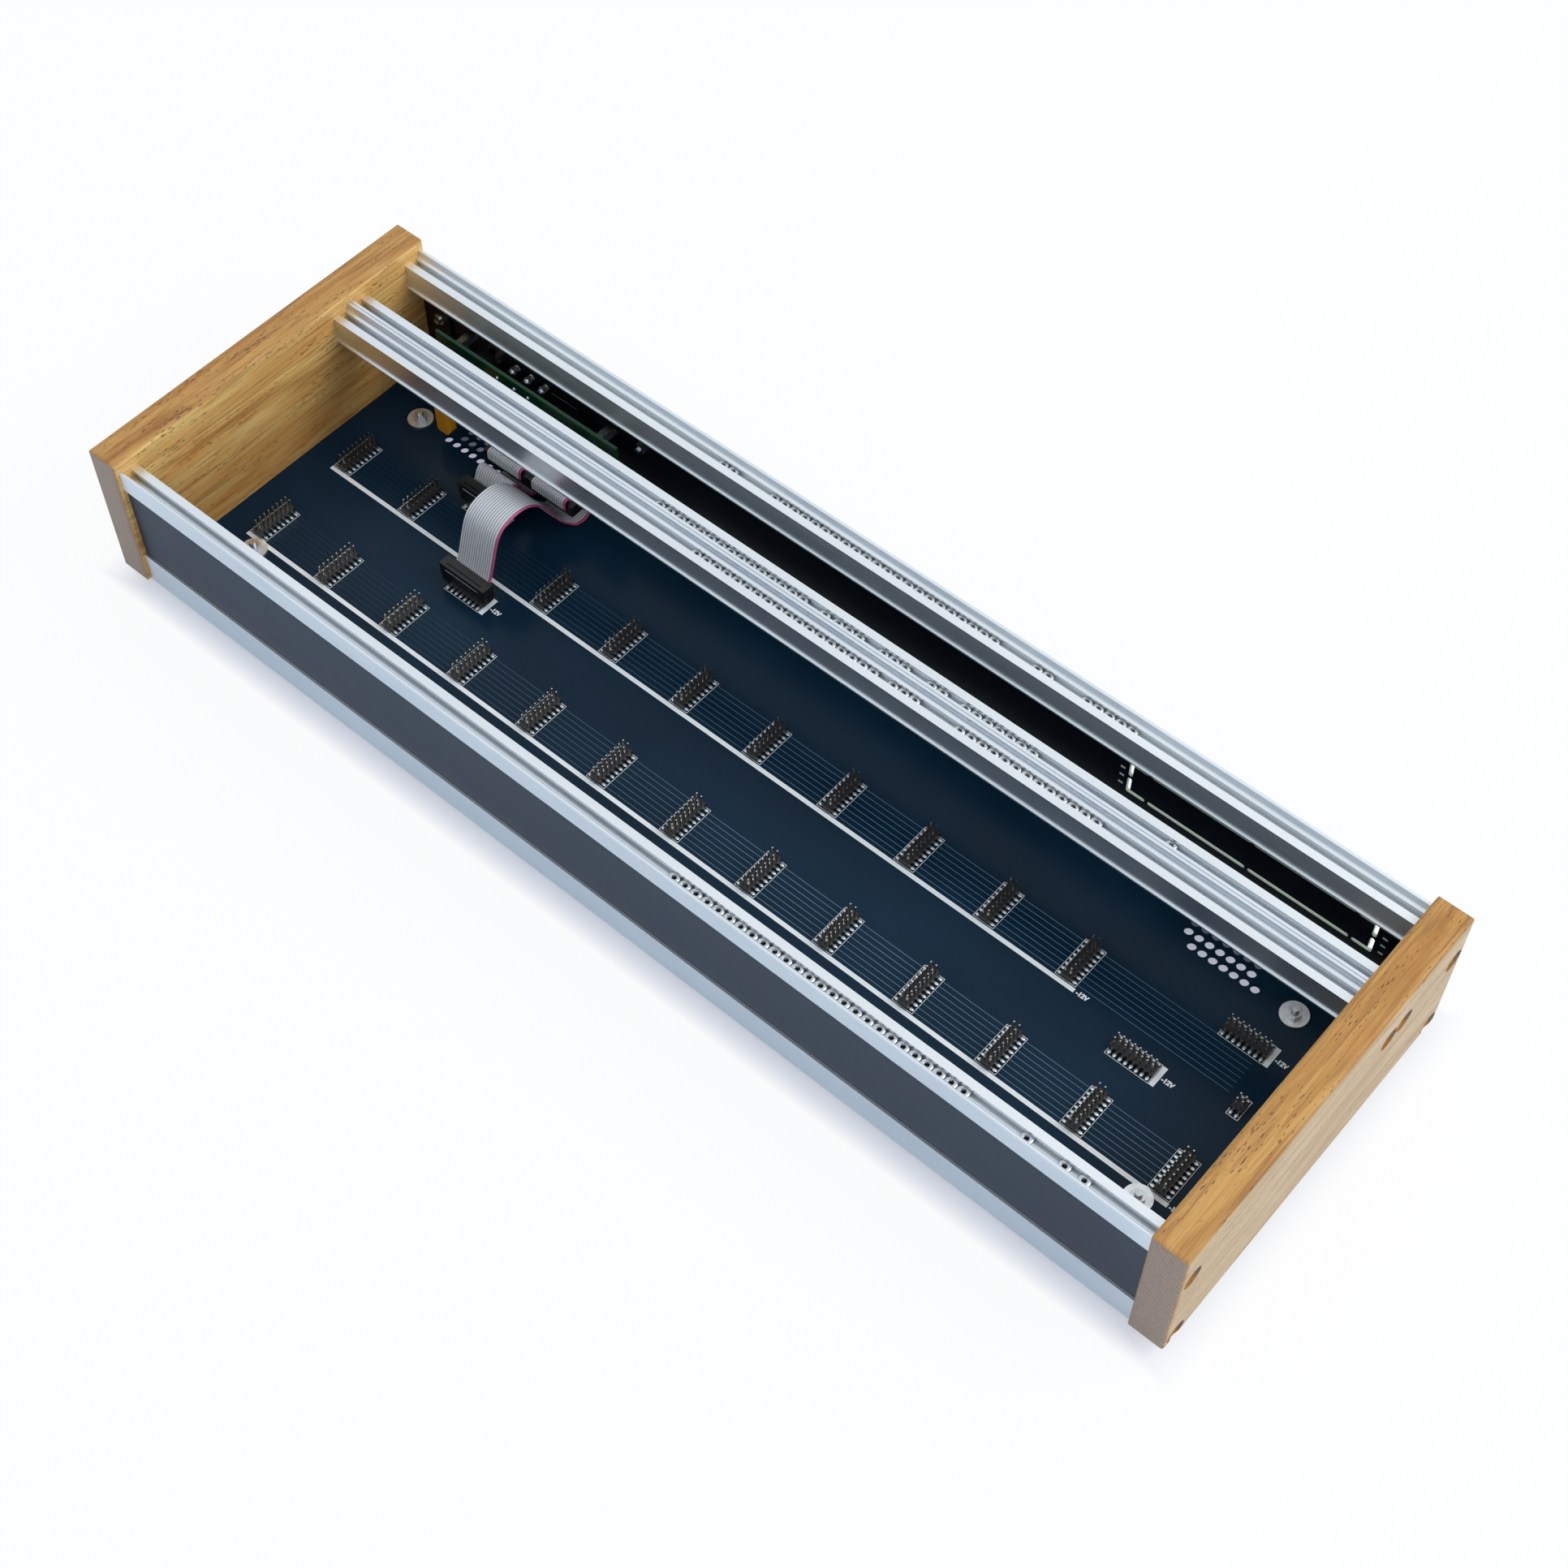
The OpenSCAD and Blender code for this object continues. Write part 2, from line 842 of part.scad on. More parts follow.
// Insulation-displacement socket body: stands on Z = 0, ribbon crosses its top along Y
module socket_body() {
    difference() {
        translate([-socket_len / 2, -socket_w / 2, 0])
            cube([socket_len, socket_w, socket_body_h]);
        translate([0, 0, -over])
            linear_extrude(socket_body_h - socket_roof + over)
                for (x = pin_xs(8), y = [-pin_pitch / 2, pin_pitch / 2])
                    translate([x, y])
                        square(pin_w + 4 * fit, center = true);
    }
}

// Clamp bar with a leg at each end that clips down the side of the body
module socket_cap() {
    cap_top = cap_leg + ribbon_slit + cap_h;
    difference() {
        translate([-cap_len / 2, -socket_w / 2 + fit, 0])
            cube([cap_len, socket_w - 2 * fit, cap_top]);
        translate([-socket_len / 2 - snug, -socket_w, -over])
            cube([socket_len + 2 * snug, 2 * socket_w, cap_leg + over]);
        translate([-ribbon_w / 2 - fit, -socket_w, -over])
            cube([ribbon_w + 2 * fit, 2 * socket_w, cap_leg + ribbon_slit + over]);
        translate([-cap_len / 2 + cap_step, groove_in - socket_w / 2, cap_top - groove_h])
            cube([cap_len - 2 * cap_step, groove_w, over]);
    }
}

module bus_sockets() {
    color("black")
        in_case() {
            translate([socket_front_x, socket_front_y, bus_socket_z])
                socket_body();
            translate([socket_rear_x, socket_rear_y, bus_socket_z])
                socket_body();
        }
}

module power_sockets() {
    color("black")
        in_case()
            for (x = power_socket_xs)
                on_power_board(x)
                    translate([0, 0, socket_seat])
                        socket_body();
}

module socket_caps() {
    color("black")
        in_case() {
            translate([socket_front_x, socket_front_y, bus_socket_z + cap_step])
                socket_cap();
            translate([socket_rear_x, socket_rear_y, bus_socket_z + cap_step])
                socket_cap();
            for (x = power_socket_xs)
                on_power_board(x)
                    translate([0, 0, socket_seat + cap_step])
                        socket_cap();
        }
}

module ribbon(centre_x, start_y, arch) {
    route = concat(
        route_at(arch, [start_y, clamp_z]),
        route_at(tail_route, [clamp_y, power_socket_z])
    );
    path = curve(route);
    translate([centre_x - ribbon_w / 2, 0, 0])
        along_x(ribbon_w)
            polygon(concat(side_of(path, ribbon_t / 2), backwards(side_of(path, -ribbon_t / 2))));
}

module ribbon_front() {
    color("lightgray")
        in_case()
            ribbon(socket_front_x, socket_front_y, arch_front);
}

module ribbon_rear() {
    color("lightgray")
        in_case()
            ribbon(socket_rear_x, socket_rear_y, arch_rear);
}

// Hexagonal spacers between the power board and the plate
module board_spacers() {
    spacer_len = plate_y - power_board_y - sheet_t;
    color("silver")
        in_case()
            for (x = spacer_xs)
                translate([x, power_board_y + sheet_t, spacer_z])
                    rotate([-90, 0, 0])
                        difference() {
                            cylinder(d = nut_af / cos(30), h = spacer_len, $fn = 6);
                            translate([0, 0, -over])
                                cylinder(d = m3_d + 2 * snug, h = spacer_len + 2 * over);
                        }
}

// Pan head screw pointing up, its head below Z = 0
module pan_screw(length, head_d = 5.6, head_h = 1.8, shank_d = m3_d) {
    difference() {
        translate([0, 0, -head_h])
            cylinder(d = head_d, h = head_h);
        translate([0, 0, -head_h - over])
            cylinder(d = head_d / 2, h = head_h / 2 + over, $fn = 6);
    }
    cylinder(d = shank_d, h = length);
}

module spacer_screws() {
    color("silver")
        in_case()
            for (x = spacer_xs) {
                translate([x, plate_y + plate_sheet, spacer_z])
                    rotate([90, 0, 0])
                        pan_screw(short_screw);
                translate([x, power_board_y, spacer_z])
                    rotate([-90, 0, 0])
                        pan_screw(short_screw);
            }
}

module plate_screws() {
    color("silver")
        in_case()
            for (x = plate_screw_xs)
                translate([x, plate_y + plate_sheet, plate_screw_z])
                    rotate([90, 0, 0])
                        pan_screw(short_screw);
}

module hex_nut() {
    difference() {
        cylinder(d = nut_af / cos(30), h = nut_h, $fn = 6);
        translate([0, 0, -over])
            cylinder(d = m3_d + 2 * snug, h = nut_h + 2 * over);
    }
}

module plate_nuts() {
    color("silver")
        in_case()
            for (x = plate_screw_xs)
                translate([x, back_panel_y, plate_screw_z])
                    rotate([90, 0, 0])
                        hex_nut();
}

// Square nuts lying loose in a rail channel
module rail_nuts(opening_y, outward, groups) {
    for (group = groups, k = [0 : group[1] - 1])
        translate([
            group[0] + (k + 0.5) * nut_pitch,
            opening_y + outward * nut_line,
            rail_z + channel_z
        ])
            linear_extrude(nut_t)
                difference() {
                    square(nut_side, center = true);
                    circle(d = nut_bore);
                }
}

module front_rail_nuts() {
    color("silver")
        in_case()
            rail_nuts(front_opening_y, -1, front_nut_groups);
}

module middle_front_nuts() {
    color("silver")
        in_case()
            rail_nuts(middle_front_y, 1, middle_front_groups);
}

module middle_rear_nuts() {
    color("silver")
        in_case()
            rail_nuts(middle_rear_y, -1, middle_rear_groups);
}

module rear_rail_nuts() {
    color("silver")
        in_case()
            rail_nuts(rear_opening_y, 1, rear_nut_groups);
}

module cheek_screw_set() {
    for (p = cheek_screw_places)
        translate([screw_sink - cheek_t, p[0], p[1]])
            rotate([0, 90, 0])
                pan_screw(cheek_t - screw_sink + screw_bite, screw_head_d, screw_head_h, screw_shank);
}

module cheek_screws() {
    color("silver")
        in_case() {
            cheek_screw_set();
            to_right_end()
                cheek_screw_set();
        }
}

// Rubber foot with a pocket for the screw head
foot_h = foot_drop + board_z;
foot_pocket_h = 3.4;
foot_pocket_r = 3.4;
foot_taper = 1.6;
foot_rim = 1;

module foot_pads() {
    color("black")
        in_case()
            for (p = foot_places)
                translate([p[0], p[1], board_z - foot_h])
                    rotate_extrude()
                        polygon([
                            [m3_hole / 2, foot_pocket_h], [foot_pocket_r, foot_pocket_h],
                            [foot_pocket_r, 0], [foot_d / 2 - foot_taper, 0],
                            [foot_d / 2, foot_h - foot_rim], [foot_d / 2, foot_h],
                            [m3_hole / 2, foot_h]
                        ]);
}

washer_t = 1;
washer_d = 12;
washer_bore = 3.3;

module foot_washers() {
    color("silver")
        in_case()
            for (p = foot_places)
                translate([p[0], p[1], board_top])
                    difference() {
                        cylinder(d = washer_d, h = washer_t);
                        translate([0, 0, -over])
                            cylinder(d = washer_bore, h = washer_t + 2 * over);
                    }
}

module foot_nuts() {
    color("silver")
        in_case()
            for (p = foot_places)
                translate([p[0], p[1], board_top + washer_t])
                    hex_nut();
}

module foot_screws() {
    screw_len = foot_h - foot_pocket_h + sheet_t + washer_t + nut_h + 2.2;
    color("silver")
        in_case()
            for (p = foot_places)
                translate([p[0], p[1], board_z - foot_h + foot_pocket_h])
                    pan_screw(screw_len);
}

left_cheek();
right_cheek();
front_upper_rail();
middle_front_rail();
middle_rear_rail();
rear_upper_rail();
front_lower_rail();
rear_lower_rail();
front_panel();
back_panel();
bus_board();
header_bases();
header_pins();
power_plate();
power_board();
power_headers();
power_header_pins();
power_jack();
jack_ring();
indicator_leds();
led_leads();
film_capacitor();
capacitor_leads();
bus_sockets();
power_sockets();
socket_caps();
ribbon_front();
ribbon_rear();
board_spacers();
spacer_screws();
plate_screws();
plate_nuts();
front_rail_nuts();
middle_front_nuts();
middle_rear_nuts();
rear_rail_nuts();
cheek_screws();
foot_pads();
foot_screws();
foot_washers();
foot_nuts();
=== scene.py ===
# %% [markdown]
# # Desktop card cage
# A long shallow case for plug-in modules: two hardwood cheeks carry four slotted aluminium
# rails, a black bus board is the floor, and a small green power board hangs behind it.
# The solids come ready from the construction. This script gives them their finishes and adds
# what a solid leaves out: print, copper, cable cores, threads, solder, light and a camera.

# %% Load the frame
import json
import math
import bpy
import bmesh
from mathutils import Matrix, Vector


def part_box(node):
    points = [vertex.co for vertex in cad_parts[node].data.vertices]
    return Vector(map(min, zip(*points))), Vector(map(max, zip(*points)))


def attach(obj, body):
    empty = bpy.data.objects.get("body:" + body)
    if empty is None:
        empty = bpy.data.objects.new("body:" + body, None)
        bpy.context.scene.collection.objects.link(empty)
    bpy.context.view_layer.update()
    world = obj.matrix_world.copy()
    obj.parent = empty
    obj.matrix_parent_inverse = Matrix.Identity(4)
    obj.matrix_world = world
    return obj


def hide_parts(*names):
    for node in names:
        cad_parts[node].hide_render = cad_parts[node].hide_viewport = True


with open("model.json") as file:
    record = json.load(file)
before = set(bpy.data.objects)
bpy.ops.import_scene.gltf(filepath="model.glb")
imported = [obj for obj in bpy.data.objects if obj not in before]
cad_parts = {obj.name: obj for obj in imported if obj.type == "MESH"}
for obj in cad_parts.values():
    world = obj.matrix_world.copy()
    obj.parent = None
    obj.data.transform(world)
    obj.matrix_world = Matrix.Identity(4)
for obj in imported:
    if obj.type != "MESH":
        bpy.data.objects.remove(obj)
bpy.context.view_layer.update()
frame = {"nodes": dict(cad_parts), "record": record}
nodes = frame["nodes"]
MM = 0.001

# %% [markdown]
# ## Places
# Places are given in the case's own millimetres, and some are read from the solids. The corner
# where the left cheek's inner face meets the cheek's front and underside is the zero of the case,
# and sizes are written in millimetres.

# %% The case's own zero
CASE_ZERO = Vector((
    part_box("left_cheek")[1][0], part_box("left_cheek")[0][1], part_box("left_cheek")[0][2]
))


def place(x, y, z):
    """A point of the case, given in millimetres, as metres in the frame."""
    return CASE_ZERO + Vector((x, y, z)) * MM


def in_case(node):
    """The lowest and highest corners of a solid, in the case's millimetres."""
    low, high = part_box(node)
    return (Vector(low) - CASE_ZERO) / MM, (Vector(high) - CASE_ZERO) / MM


BAY_LEN = in_case("right_cheek")[0].x
BOARD_TOP = in_case("bus_board")[1].z
print(f"bay {BAY_LEN:.2f} mm, board top {BOARD_TOP:.2f} mm")

# %% [markdown]
# ## Small tools for node trees
# Colours are written as the hex values a painter would pick, and turned linear once. One
# function adds a node of any kind with its settings, its values and its links. Every pattern
# reads the piece's own Object coordinates, and its size is given in real millimetres. A Mix
# node set to colour takes its factor in socket 0 and its two colours in sockets 6 and 7.

# %% Colour and node tools
def linear(code):
    """An sRGB hex colour as linear red, green, blue and alpha."""
    parts = [int(code[i:i + 2], 16) / 255 for i in (1, 3, 5)]
    lights = [c / 12.92 if c <= 0.04045 else ((c + 0.055) / 1.055) ** 2.4 for c in parts]
    return (*lights, 1)


def add(tree, kind, values=None, **settings):
    """Adds a node, sets its properties, then fills or links its inputs."""
    node = tree.nodes.new(kind)
    for name, setting in settings.items():
        setattr(node, name, setting)
    for socket, value in (values or {}).items():
        if isinstance(value, bpy.types.NodeSocket):
            tree.links.new(value, node.inputs[socket])
        else:
            node.inputs[socket].default_value = value
    return node


def start_material(name):
    """An empty material, its tree, and the Object coordinates that its patterns read."""
    material = bpy.data.materials.new(name)
    material.use_nodes = True
    tree = material.node_tree
    tree.nodes.clear()
    return material, tree, add(tree, "ShaderNodeTexCoord").outputs["Object"]


def per_mm(x, y, z):
    """Pattern scale for which one unit is this many millimetres along each axis."""
    return [1 / (size * MM) for size in (x, y, z)]


print("a mid grey, linear:", [round(c, 3) for c in linear("#808080")])

# %% [markdown]
# ## Oiled hardwood
# The cheeks are planed from a coarse open-pored hardwood and oiled. Along the grain the eye
# sees slow golden and brown streaks and short dark pores; across the ends it sees a dull
# grey-brown close texture, because end grain drinks the oil, and that grey is partly painted
# shade. The outer faces are painted paler and the inner faces a brighter gold, both painted
# light, and the inner faces carry painted shade towards the board.
# Streaks and pores are noise stretched along the grain, and the faces are told apart by their
# own direction, so the pattern belongs to the wood and stays put.

# %% Hardwood: grain
HARDWOOD, tree, where = start_material("oiled_hardwood")
streak = add(tree, "ShaderNodeTexNoise", {
    "Vector": add(tree, "ShaderNodeMapping", {
        "Vector": where, "Scale": per_mm(8, 75, 8),
    }).outputs[0],
    "Scale": 1.0, "Detail": 5.0, "Roughness": 0.62, "Distortion": 0.7,
}).outputs["Fac"]
figure = add(tree, "ShaderNodeTexNoise", {
    "Vector": add(tree, "ShaderNodeMapping", {
        "Vector": where, "Scale": per_mm(3.2, 60, 3.2),
    }).outputs[0],
    "Scale": 1.0, "Detail": 2.0, "Distortion": 1.2,
}).outputs["Fac"]
fine = add(tree, "ShaderNodeTexNoise", {
    "Vector": add(tree, "ShaderNodeMapping", {
        "Vector": where, "Scale": per_mm(0.9, 26, 0.9),
    }).outputs[0],
    "Scale": 1.0, "Detail": 3.0,
}).outputs["Fac"]
pore_cell = add(tree, "ShaderNodeTexVoronoi", {
    "Vector": add(tree, "ShaderNodeMapping", {
        "Vector": where, "Scale": per_mm(0.8, 5.0, 0.8),
    }).outputs[0],
    "Scale": 1.0, "Randomness": 1.0,
}).outputs["Distance"]
pore_field = add(tree, "ShaderNodeTexNoise", {
    "Vector": add(tree, "ShaderNodeMapping", {
        "Vector": where, "Scale": per_mm(5, 40, 5),
    }).outputs[0],
    "Scale": 1.0, "Detail": 2.0,
}).outputs["Fac"]
pore_edge = add(tree, "ShaderNodeMapRange", {
    "Value": pore_field, "From Min": 0.40, "From Max": 0.70, "To Min": 0.08, "To Max": 0.34,
}).outputs[0]
pore = add(tree, "ShaderNodeMath", {0: pore_edge, 1: pore_cell}, operation="SUBTRACT").outputs[0]
pore = add(tree, "ShaderNodeMapRange", {
    "Value": pore, "From Min": 0.0, "From Max": 0.10,
}).outputs[0]
print(HARDWOOD.name, "has pores 0.8 by 5 mm")


# %% Hardwood: tones of the faces
def planed(light, dark, line, hollow):
    """The same streaks, lines and pores in the tones of one face."""
    tone = add(tree, "ShaderNodeMix", {
        0: add(tree, "ShaderNodeMapRange", {
            "Value": streak, "From Min": 0.38, "From Max": 0.64,
        }).outputs[0],
        6: linear(light), 7: linear(dark),
    }, data_type="RGBA").outputs[2]
    tone = add(tree, "ShaderNodeMix", {
        0: add(tree, "ShaderNodeMapRange", {
            "Value": figure, "From Min": 0.52, "From Max": 0.66, "To Min": 0.0, "To Max": 0.5,
        }).outputs[0],
        6: tone, 7: linear(line),
    }, data_type="RGBA").outputs[2]
    tone = add(tree, "ShaderNodeMix", {
        0: add(tree, "ShaderNodeMapRange", {
            "Value": fine, "From Min": 0.45, "From Max": 0.75, "To Min": 0.0, "To Max": 0.45,
        }).outputs[0],
        6: tone, 7: linear(line),
    }, data_type="RGBA").outputs[2]
    return add(tree, "ShaderNodeMix", {
        0: pore, 6: tone, 7: linear(hollow),
    }, data_type="RGBA").outputs[2]


spot = add(tree, "ShaderNodeSeparateXYZ", {0: where})
golden = planed("#CB9C58", "#AC7839", "#84552A", "#5A3A1C")
# Painted light: the inner faces take a brighter gold than the top
bright = planed("#FFD685", "#E8A75A", "#96602B", "#6E4620")
# Painted shade: the inner faces are darker towards the board, a change of tone
inner_painted_shade = add(tree, "ShaderNodeMapRange", {
    "Value": spot.outputs["Z"], "From Min": 25 * MM, "From Max": 62 * MM, "To Min": 0.42,
    "To Max": 0.0,
}).outputs[0]
bright = add(tree, "ShaderNodeMix", {
    0: inner_painted_shade, 6: bright, 7: linear("#8A5A2A"),
}, data_type="RGBA").outputs[2]
# Painted light: the outer faces take a paler tone, as they face the bright surroundings
pale = planed("#D9BD92", "#C3A075", "#A18059", "#86694A")
ring = add(tree, "ShaderNodeTexWave", {
    "Vector": add(tree, "ShaderNodeMapping", {
        "Vector": where, "Scale": per_mm(1000, 1000, 1000),
    }).outputs[0],
    "Scale": 190.0, "Distortion": 3.0, "Detail": 3.0, "Detail Scale": 2.0,
}, wave_type="BANDS", bands_direction="DIAGONAL").outputs["Fac"]
speck = add(tree, "ShaderNodeTexNoise", {
    "Vector": add(tree, "ShaderNodeMapping", {
        "Vector": where, "Scale": per_mm(0.7, 0.7, 0.7),
    }).outputs[0],
    "Scale": 1.0, "Detail": 3.0,
}).outputs["Fac"]
# End grain tone: partly the wood's own, as end grain drinks the oil, and partly painted shade, as
# on the front ends, which face away from the lamp
end = add(tree, "ShaderNodeMix", {
    0: add(tree, "ShaderNodeMapRange", {
        "Value": ring, "From Min": 0.2, "From Max": 0.9, "To Min": 0.0, "To Max": 0.5,
    }).outputs[0],
    6: linear("#A68F7C"), 7: linear("#8D7866"),
}, data_type="RGBA").outputs[2]
end = add(tree, "ShaderNodeMix", {
    0: add(tree, "ShaderNodeMapRange", {
        "Value": speck, "From Min": 0.52, "From Max": 0.75, "To Min": 0.0, "To Max": 0.5,
    }).outputs[0],
    6: end, 7: linear("#66523F"),
}, data_type="RGBA").outputs[2]
print("tones: top and bottom, inner, outer, end grain")

# %% Hardwood: which face is which
facing = add(tree, "ShaderNodeSeparateXYZ", {
    0: add(tree, "ShaderNodeNewGeometry").outputs["True Normal"],
})
left_or_right = add(tree, "ShaderNodeMath", {0: spot.outputs["X"]}, operation="SIGN").outputs[0]
outward = add(tree, "ShaderNodeMath", {
    0: facing.outputs["X"], 1: left_or_right,
}, operation="MULTIPLY").outputs[0]
across = add(tree, "ShaderNodeMath", {0: facing.outputs["Y"]}, operation="ABSOLUTE").outputs[0]
# Each face takes its tone by its direction: the painted-light tones go to the inner and outer
# faces, and the end grain tone, partly painted shade, goes to the ends
colour = add(tree, "ShaderNodeMix", {
    0: add(tree, "ShaderNodeMapRange", {
        "Value": outward, "From Min": -0.95, "From Max": -0.75,
    }).outputs[0],
    6: bright, 7: golden,
}, data_type="RGBA").outputs[2]
colour = add(tree, "ShaderNodeMix", {
    0: add(tree, "ShaderNodeMapRange", {
        "Value": outward, "From Min": 0.75, "From Max": 0.95,
    }).outputs[0],
    6: colour, 7: pale,
}, data_type="RGBA").outputs[2]
colour = add(tree, "ShaderNodeMix", {
    0: add(tree, "ShaderNodeMapRange", {
        "Value": across, "From Min": 0.6, "From Max": 0.85,
    }).outputs[0],
    6: colour, 7: end,
}, data_type="RGBA").outputs[2]
height = add(tree, "ShaderNodeMath", {0: fine, 1: pore}, operation="SUBTRACT").outputs[0]
bump = add(tree, "ShaderNodeBump", {"Height": height, "Strength": 0.35, "Distance": 0.25 * MM})
add(tree, "ShaderNodeOutputMaterial", {
    "Surface": add(tree, "ShaderNodeBsdfPrincipled", {
        "Base Color": colour, "Normal": bump.outputs[0], "Roughness": 0.48,
        "Specular IOR Level": 0.4,
    }).outputs[0],
})
print(HARDWOOD.name, len(tree.nodes), "nodes")

# %% [markdown]
# ## Anodised aluminium
# The rails are extruded, so the die leaves hair-fine lines along their length, and the clear
# anodising turns the mirror into an even silver satin. The lines change how rough the metal is
# across the rail, and barely lift its surface.

# %% Aluminium
def anodised_aluminium(name, tint, rough):
    """Extruded or rolled metal whose die lines run along X."""
    material, tree, where = start_material(name)
    lines = add(tree, "ShaderNodeTexNoise", {
        "Vector": add(tree, "ShaderNodeMapping", {
            "Vector": where, "Scale": per_mm(120, 0.35, 0.35),
        }).outputs[0],
        "Scale": 1.0, "Detail": 2.0,
    }).outputs["Fac"]
    cloud = add(tree, "ShaderNodeTexNoise", {
        "Vector": add(tree, "ShaderNodeMapping", {
            "Vector": where, "Scale": per_mm(60, 12, 12),
        }).outputs[0],
        "Scale": 1.0, "Detail": 2.0,
    }).outputs["Fac"]
    colour = add(tree, "ShaderNodeMix", {
        0: add(tree, "ShaderNodeMapRange", {
            "Value": cloud, "From Min": 0.3, "From Max": 0.7, "To Min": 0.0, "To Max": 0.25,
        }).outputs[0],
        6: linear(tint), 7: linear("#D3DAE1"),
    }, data_type="RGBA").outputs[2]
    bump = add(tree, "ShaderNodeBump", {"Height": lines, "Strength": 0.12, "Distance": 0.03 * MM})
    add(tree, "ShaderNodeOutputMaterial", {
        "Surface": add(tree, "ShaderNodeBsdfPrincipled", {
            "Base Color": colour, "Metallic": 1.0, "Normal": bump.outputs[0],
            "Roughness": add(tree, "ShaderNodeMapRange", {
                "Value": lines, "From Min": 0.3, "From Max": 0.7, "To Min": rough - 0.05,
                "To Max": rough + 0.06,
            }).outputs[0],
        }).outputs[0],
    })
    return material


# Clear anodised extrusion: an even silver satin with a cool cast
RAIL_METAL = anodised_aluminium("clear_anodised_extrusion", "#EFF4F8", 0.35)
# The rear upper rail: the same satin, set a touch more matt, and in a paler tint that is
# painted light, so that its faces show paler
REAR_RAIL_METAL = anodised_aluminium("clear_anodised_rear_extrusion", "#F4F9FB", 0.46)
print(RAIL_METAL.name, REAR_RAIL_METAL.name)

# %% [markdown]
# ## Solder resist
# Circuit board is glass cloth in epoxy under a thin film of coloured resist. The black film is
# glossy and not quite level: the weave beneath it gives the reflections a faint ripple. The
# front panel carries a satin black resist, painted a soft slate grey: a painted sheen of the sky.

# %% Board finishes
def solder_resist(name, film, shade, rough, ripple, gloss=0.5):
    """A film whose colour clouds slightly and whose weave ripples its reflections."""
    material, tree, where = start_material(name)
    weave = add(tree, "ShaderNodeTexNoise", {
        "Vector": add(tree, "ShaderNodeMapping", {
            "Vector": where, "Scale": per_mm(0.8, 0.8, 0.8),
        }).outputs[0],
        "Scale": 1.0, "Detail": 2.0,
    }).outputs["Fac"]
    cloud = add(tree, "ShaderNodeTexNoise", {
        "Vector": add(tree, "ShaderNodeMapping", {
            "Vector": where, "Scale": per_mm(70, 40, 40),
        }).outputs[0],
        "Scale": 1.0, "Detail": 3.0,
    }).outputs["Fac"]
    colour = add(tree, "ShaderNodeMix", {
        0: add(tree, "ShaderNodeMapRange", {
            "Value": cloud, "From Min": 0.35, "From Max": 0.7,
        }).outputs[0],
        6: linear(film), 7: linear(shade),
    }, data_type="RGBA").outputs[2]
    bump = add(tree, "ShaderNodeBump", {
        "Height": weave, "Strength": ripple, "Distance": 0.02 * MM,
    })
    add(tree, "ShaderNodeOutputMaterial", {
        "Surface": add(tree, "ShaderNodeBsdfPrincipled", {
            "Base Color": colour, "Normal": bump.outputs[0],
            "Roughness": add(tree, "ShaderNodeMapRange", {
                "Value": cloud, "From Min": 0.3, "From Max": 0.7, "To Min": rough - 0.03,
                "To Max": rough + 0.04,
            }).outputs[0],
            "IOR": 1.5, "Specular IOR Level": gloss,
        }).outputs[0],
    })
    return material


def resist_with_cut_edges(name, film, rough):
    """Board whose milled slots, on the right, show bare glass epoxy: they don't face along Y."""
    material, tree, where = start_material(name)
    normal = add(tree, "ShaderNodeSeparateXYZ", {
        0: add(tree, "ShaderNodeNewGeometry").outputs["True Normal"],
    })
    flat = add(tree, "ShaderNodeMath", {0: normal.outputs["Y"]}, operation="ABSOLUTE").outputs[0]
    glass = add(tree, "ShaderNodeTexNoise", {
        "Vector": add(tree, "ShaderNodeMapping", {
            "Vector": where, "Scale": per_mm(2.0, 0.15, 0.3),
        }).outputs[0],
        "Scale": 1.0, "Detail": 2.0,
    }).outputs["Fac"]
    edge = add(tree, "ShaderNodeMix", {
        0: glass, 6: linear("#C9D3C4"), 7: linear("#9FAF9C"),
    }, data_type="RGBA").outputs[2]
    to_right = add(tree, "ShaderNodeSeparateXYZ", {0: where}).outputs["X"]
    edge = add(tree, "ShaderNodeMix", {
        0: add(tree, "ShaderNodeMapRange", {
            "Value": to_right, "From Min": 100 * MM, "From Max": 101 * MM,
        }).outputs[0],
        6: linear(film), 7: edge,
    }, data_type="RGBA").outputs[2]
    bump = add(tree, "ShaderNodeBump", {"Height": glass, "Strength": 0.1, "Distance": 0.02 * MM})
    add(tree, "ShaderNodeOutputMaterial", {
        "Surface": add(tree, "ShaderNodeBsdfPrincipled", {
            "Base Color": add(tree, "ShaderNodeMix", {
                0: add(tree, "ShaderNodeMapRange", {
                    "Value": flat, "From Min": 0.5, "From Max": 0.9,
                }).outputs[0],
                6: edge, 7: linear(film),
            }, data_type="RGBA").outputs[2],
            "Normal": bump.outputs[0], "Roughness": rough, "Specular IOR Level": 0.2,
        }).outputs[0],
    })
    return material


# Routed black panel: deep satin black, with pale glass cloth in the milled slots
CUT_PANEL = resist_with_cut_edges("routed_black_panel", "#081019", 0.3)
# Glossy black resist over dark laminate: blue-black, with soft reflections of the rails
BLACK_RESIST = solder_resist("glossy_black_resist", "#0B2335", "#0F2A3E", 0.22, 0.15, 0.12)
# Satin black resist: its black film is painted slate grey, a painted sheen of the open sky
SATIN_RESIST = solder_resist("satin_black_resist", "#1A2839", "#203042", 0.42, 0.10, 0.4)
# Glossy green resist: the usual deep bottle green of a power board
GREEN_RESIST = solder_resist("glossy_green_resist", "#07371F", "#052A19", 0.22, 0.15, 0.25)


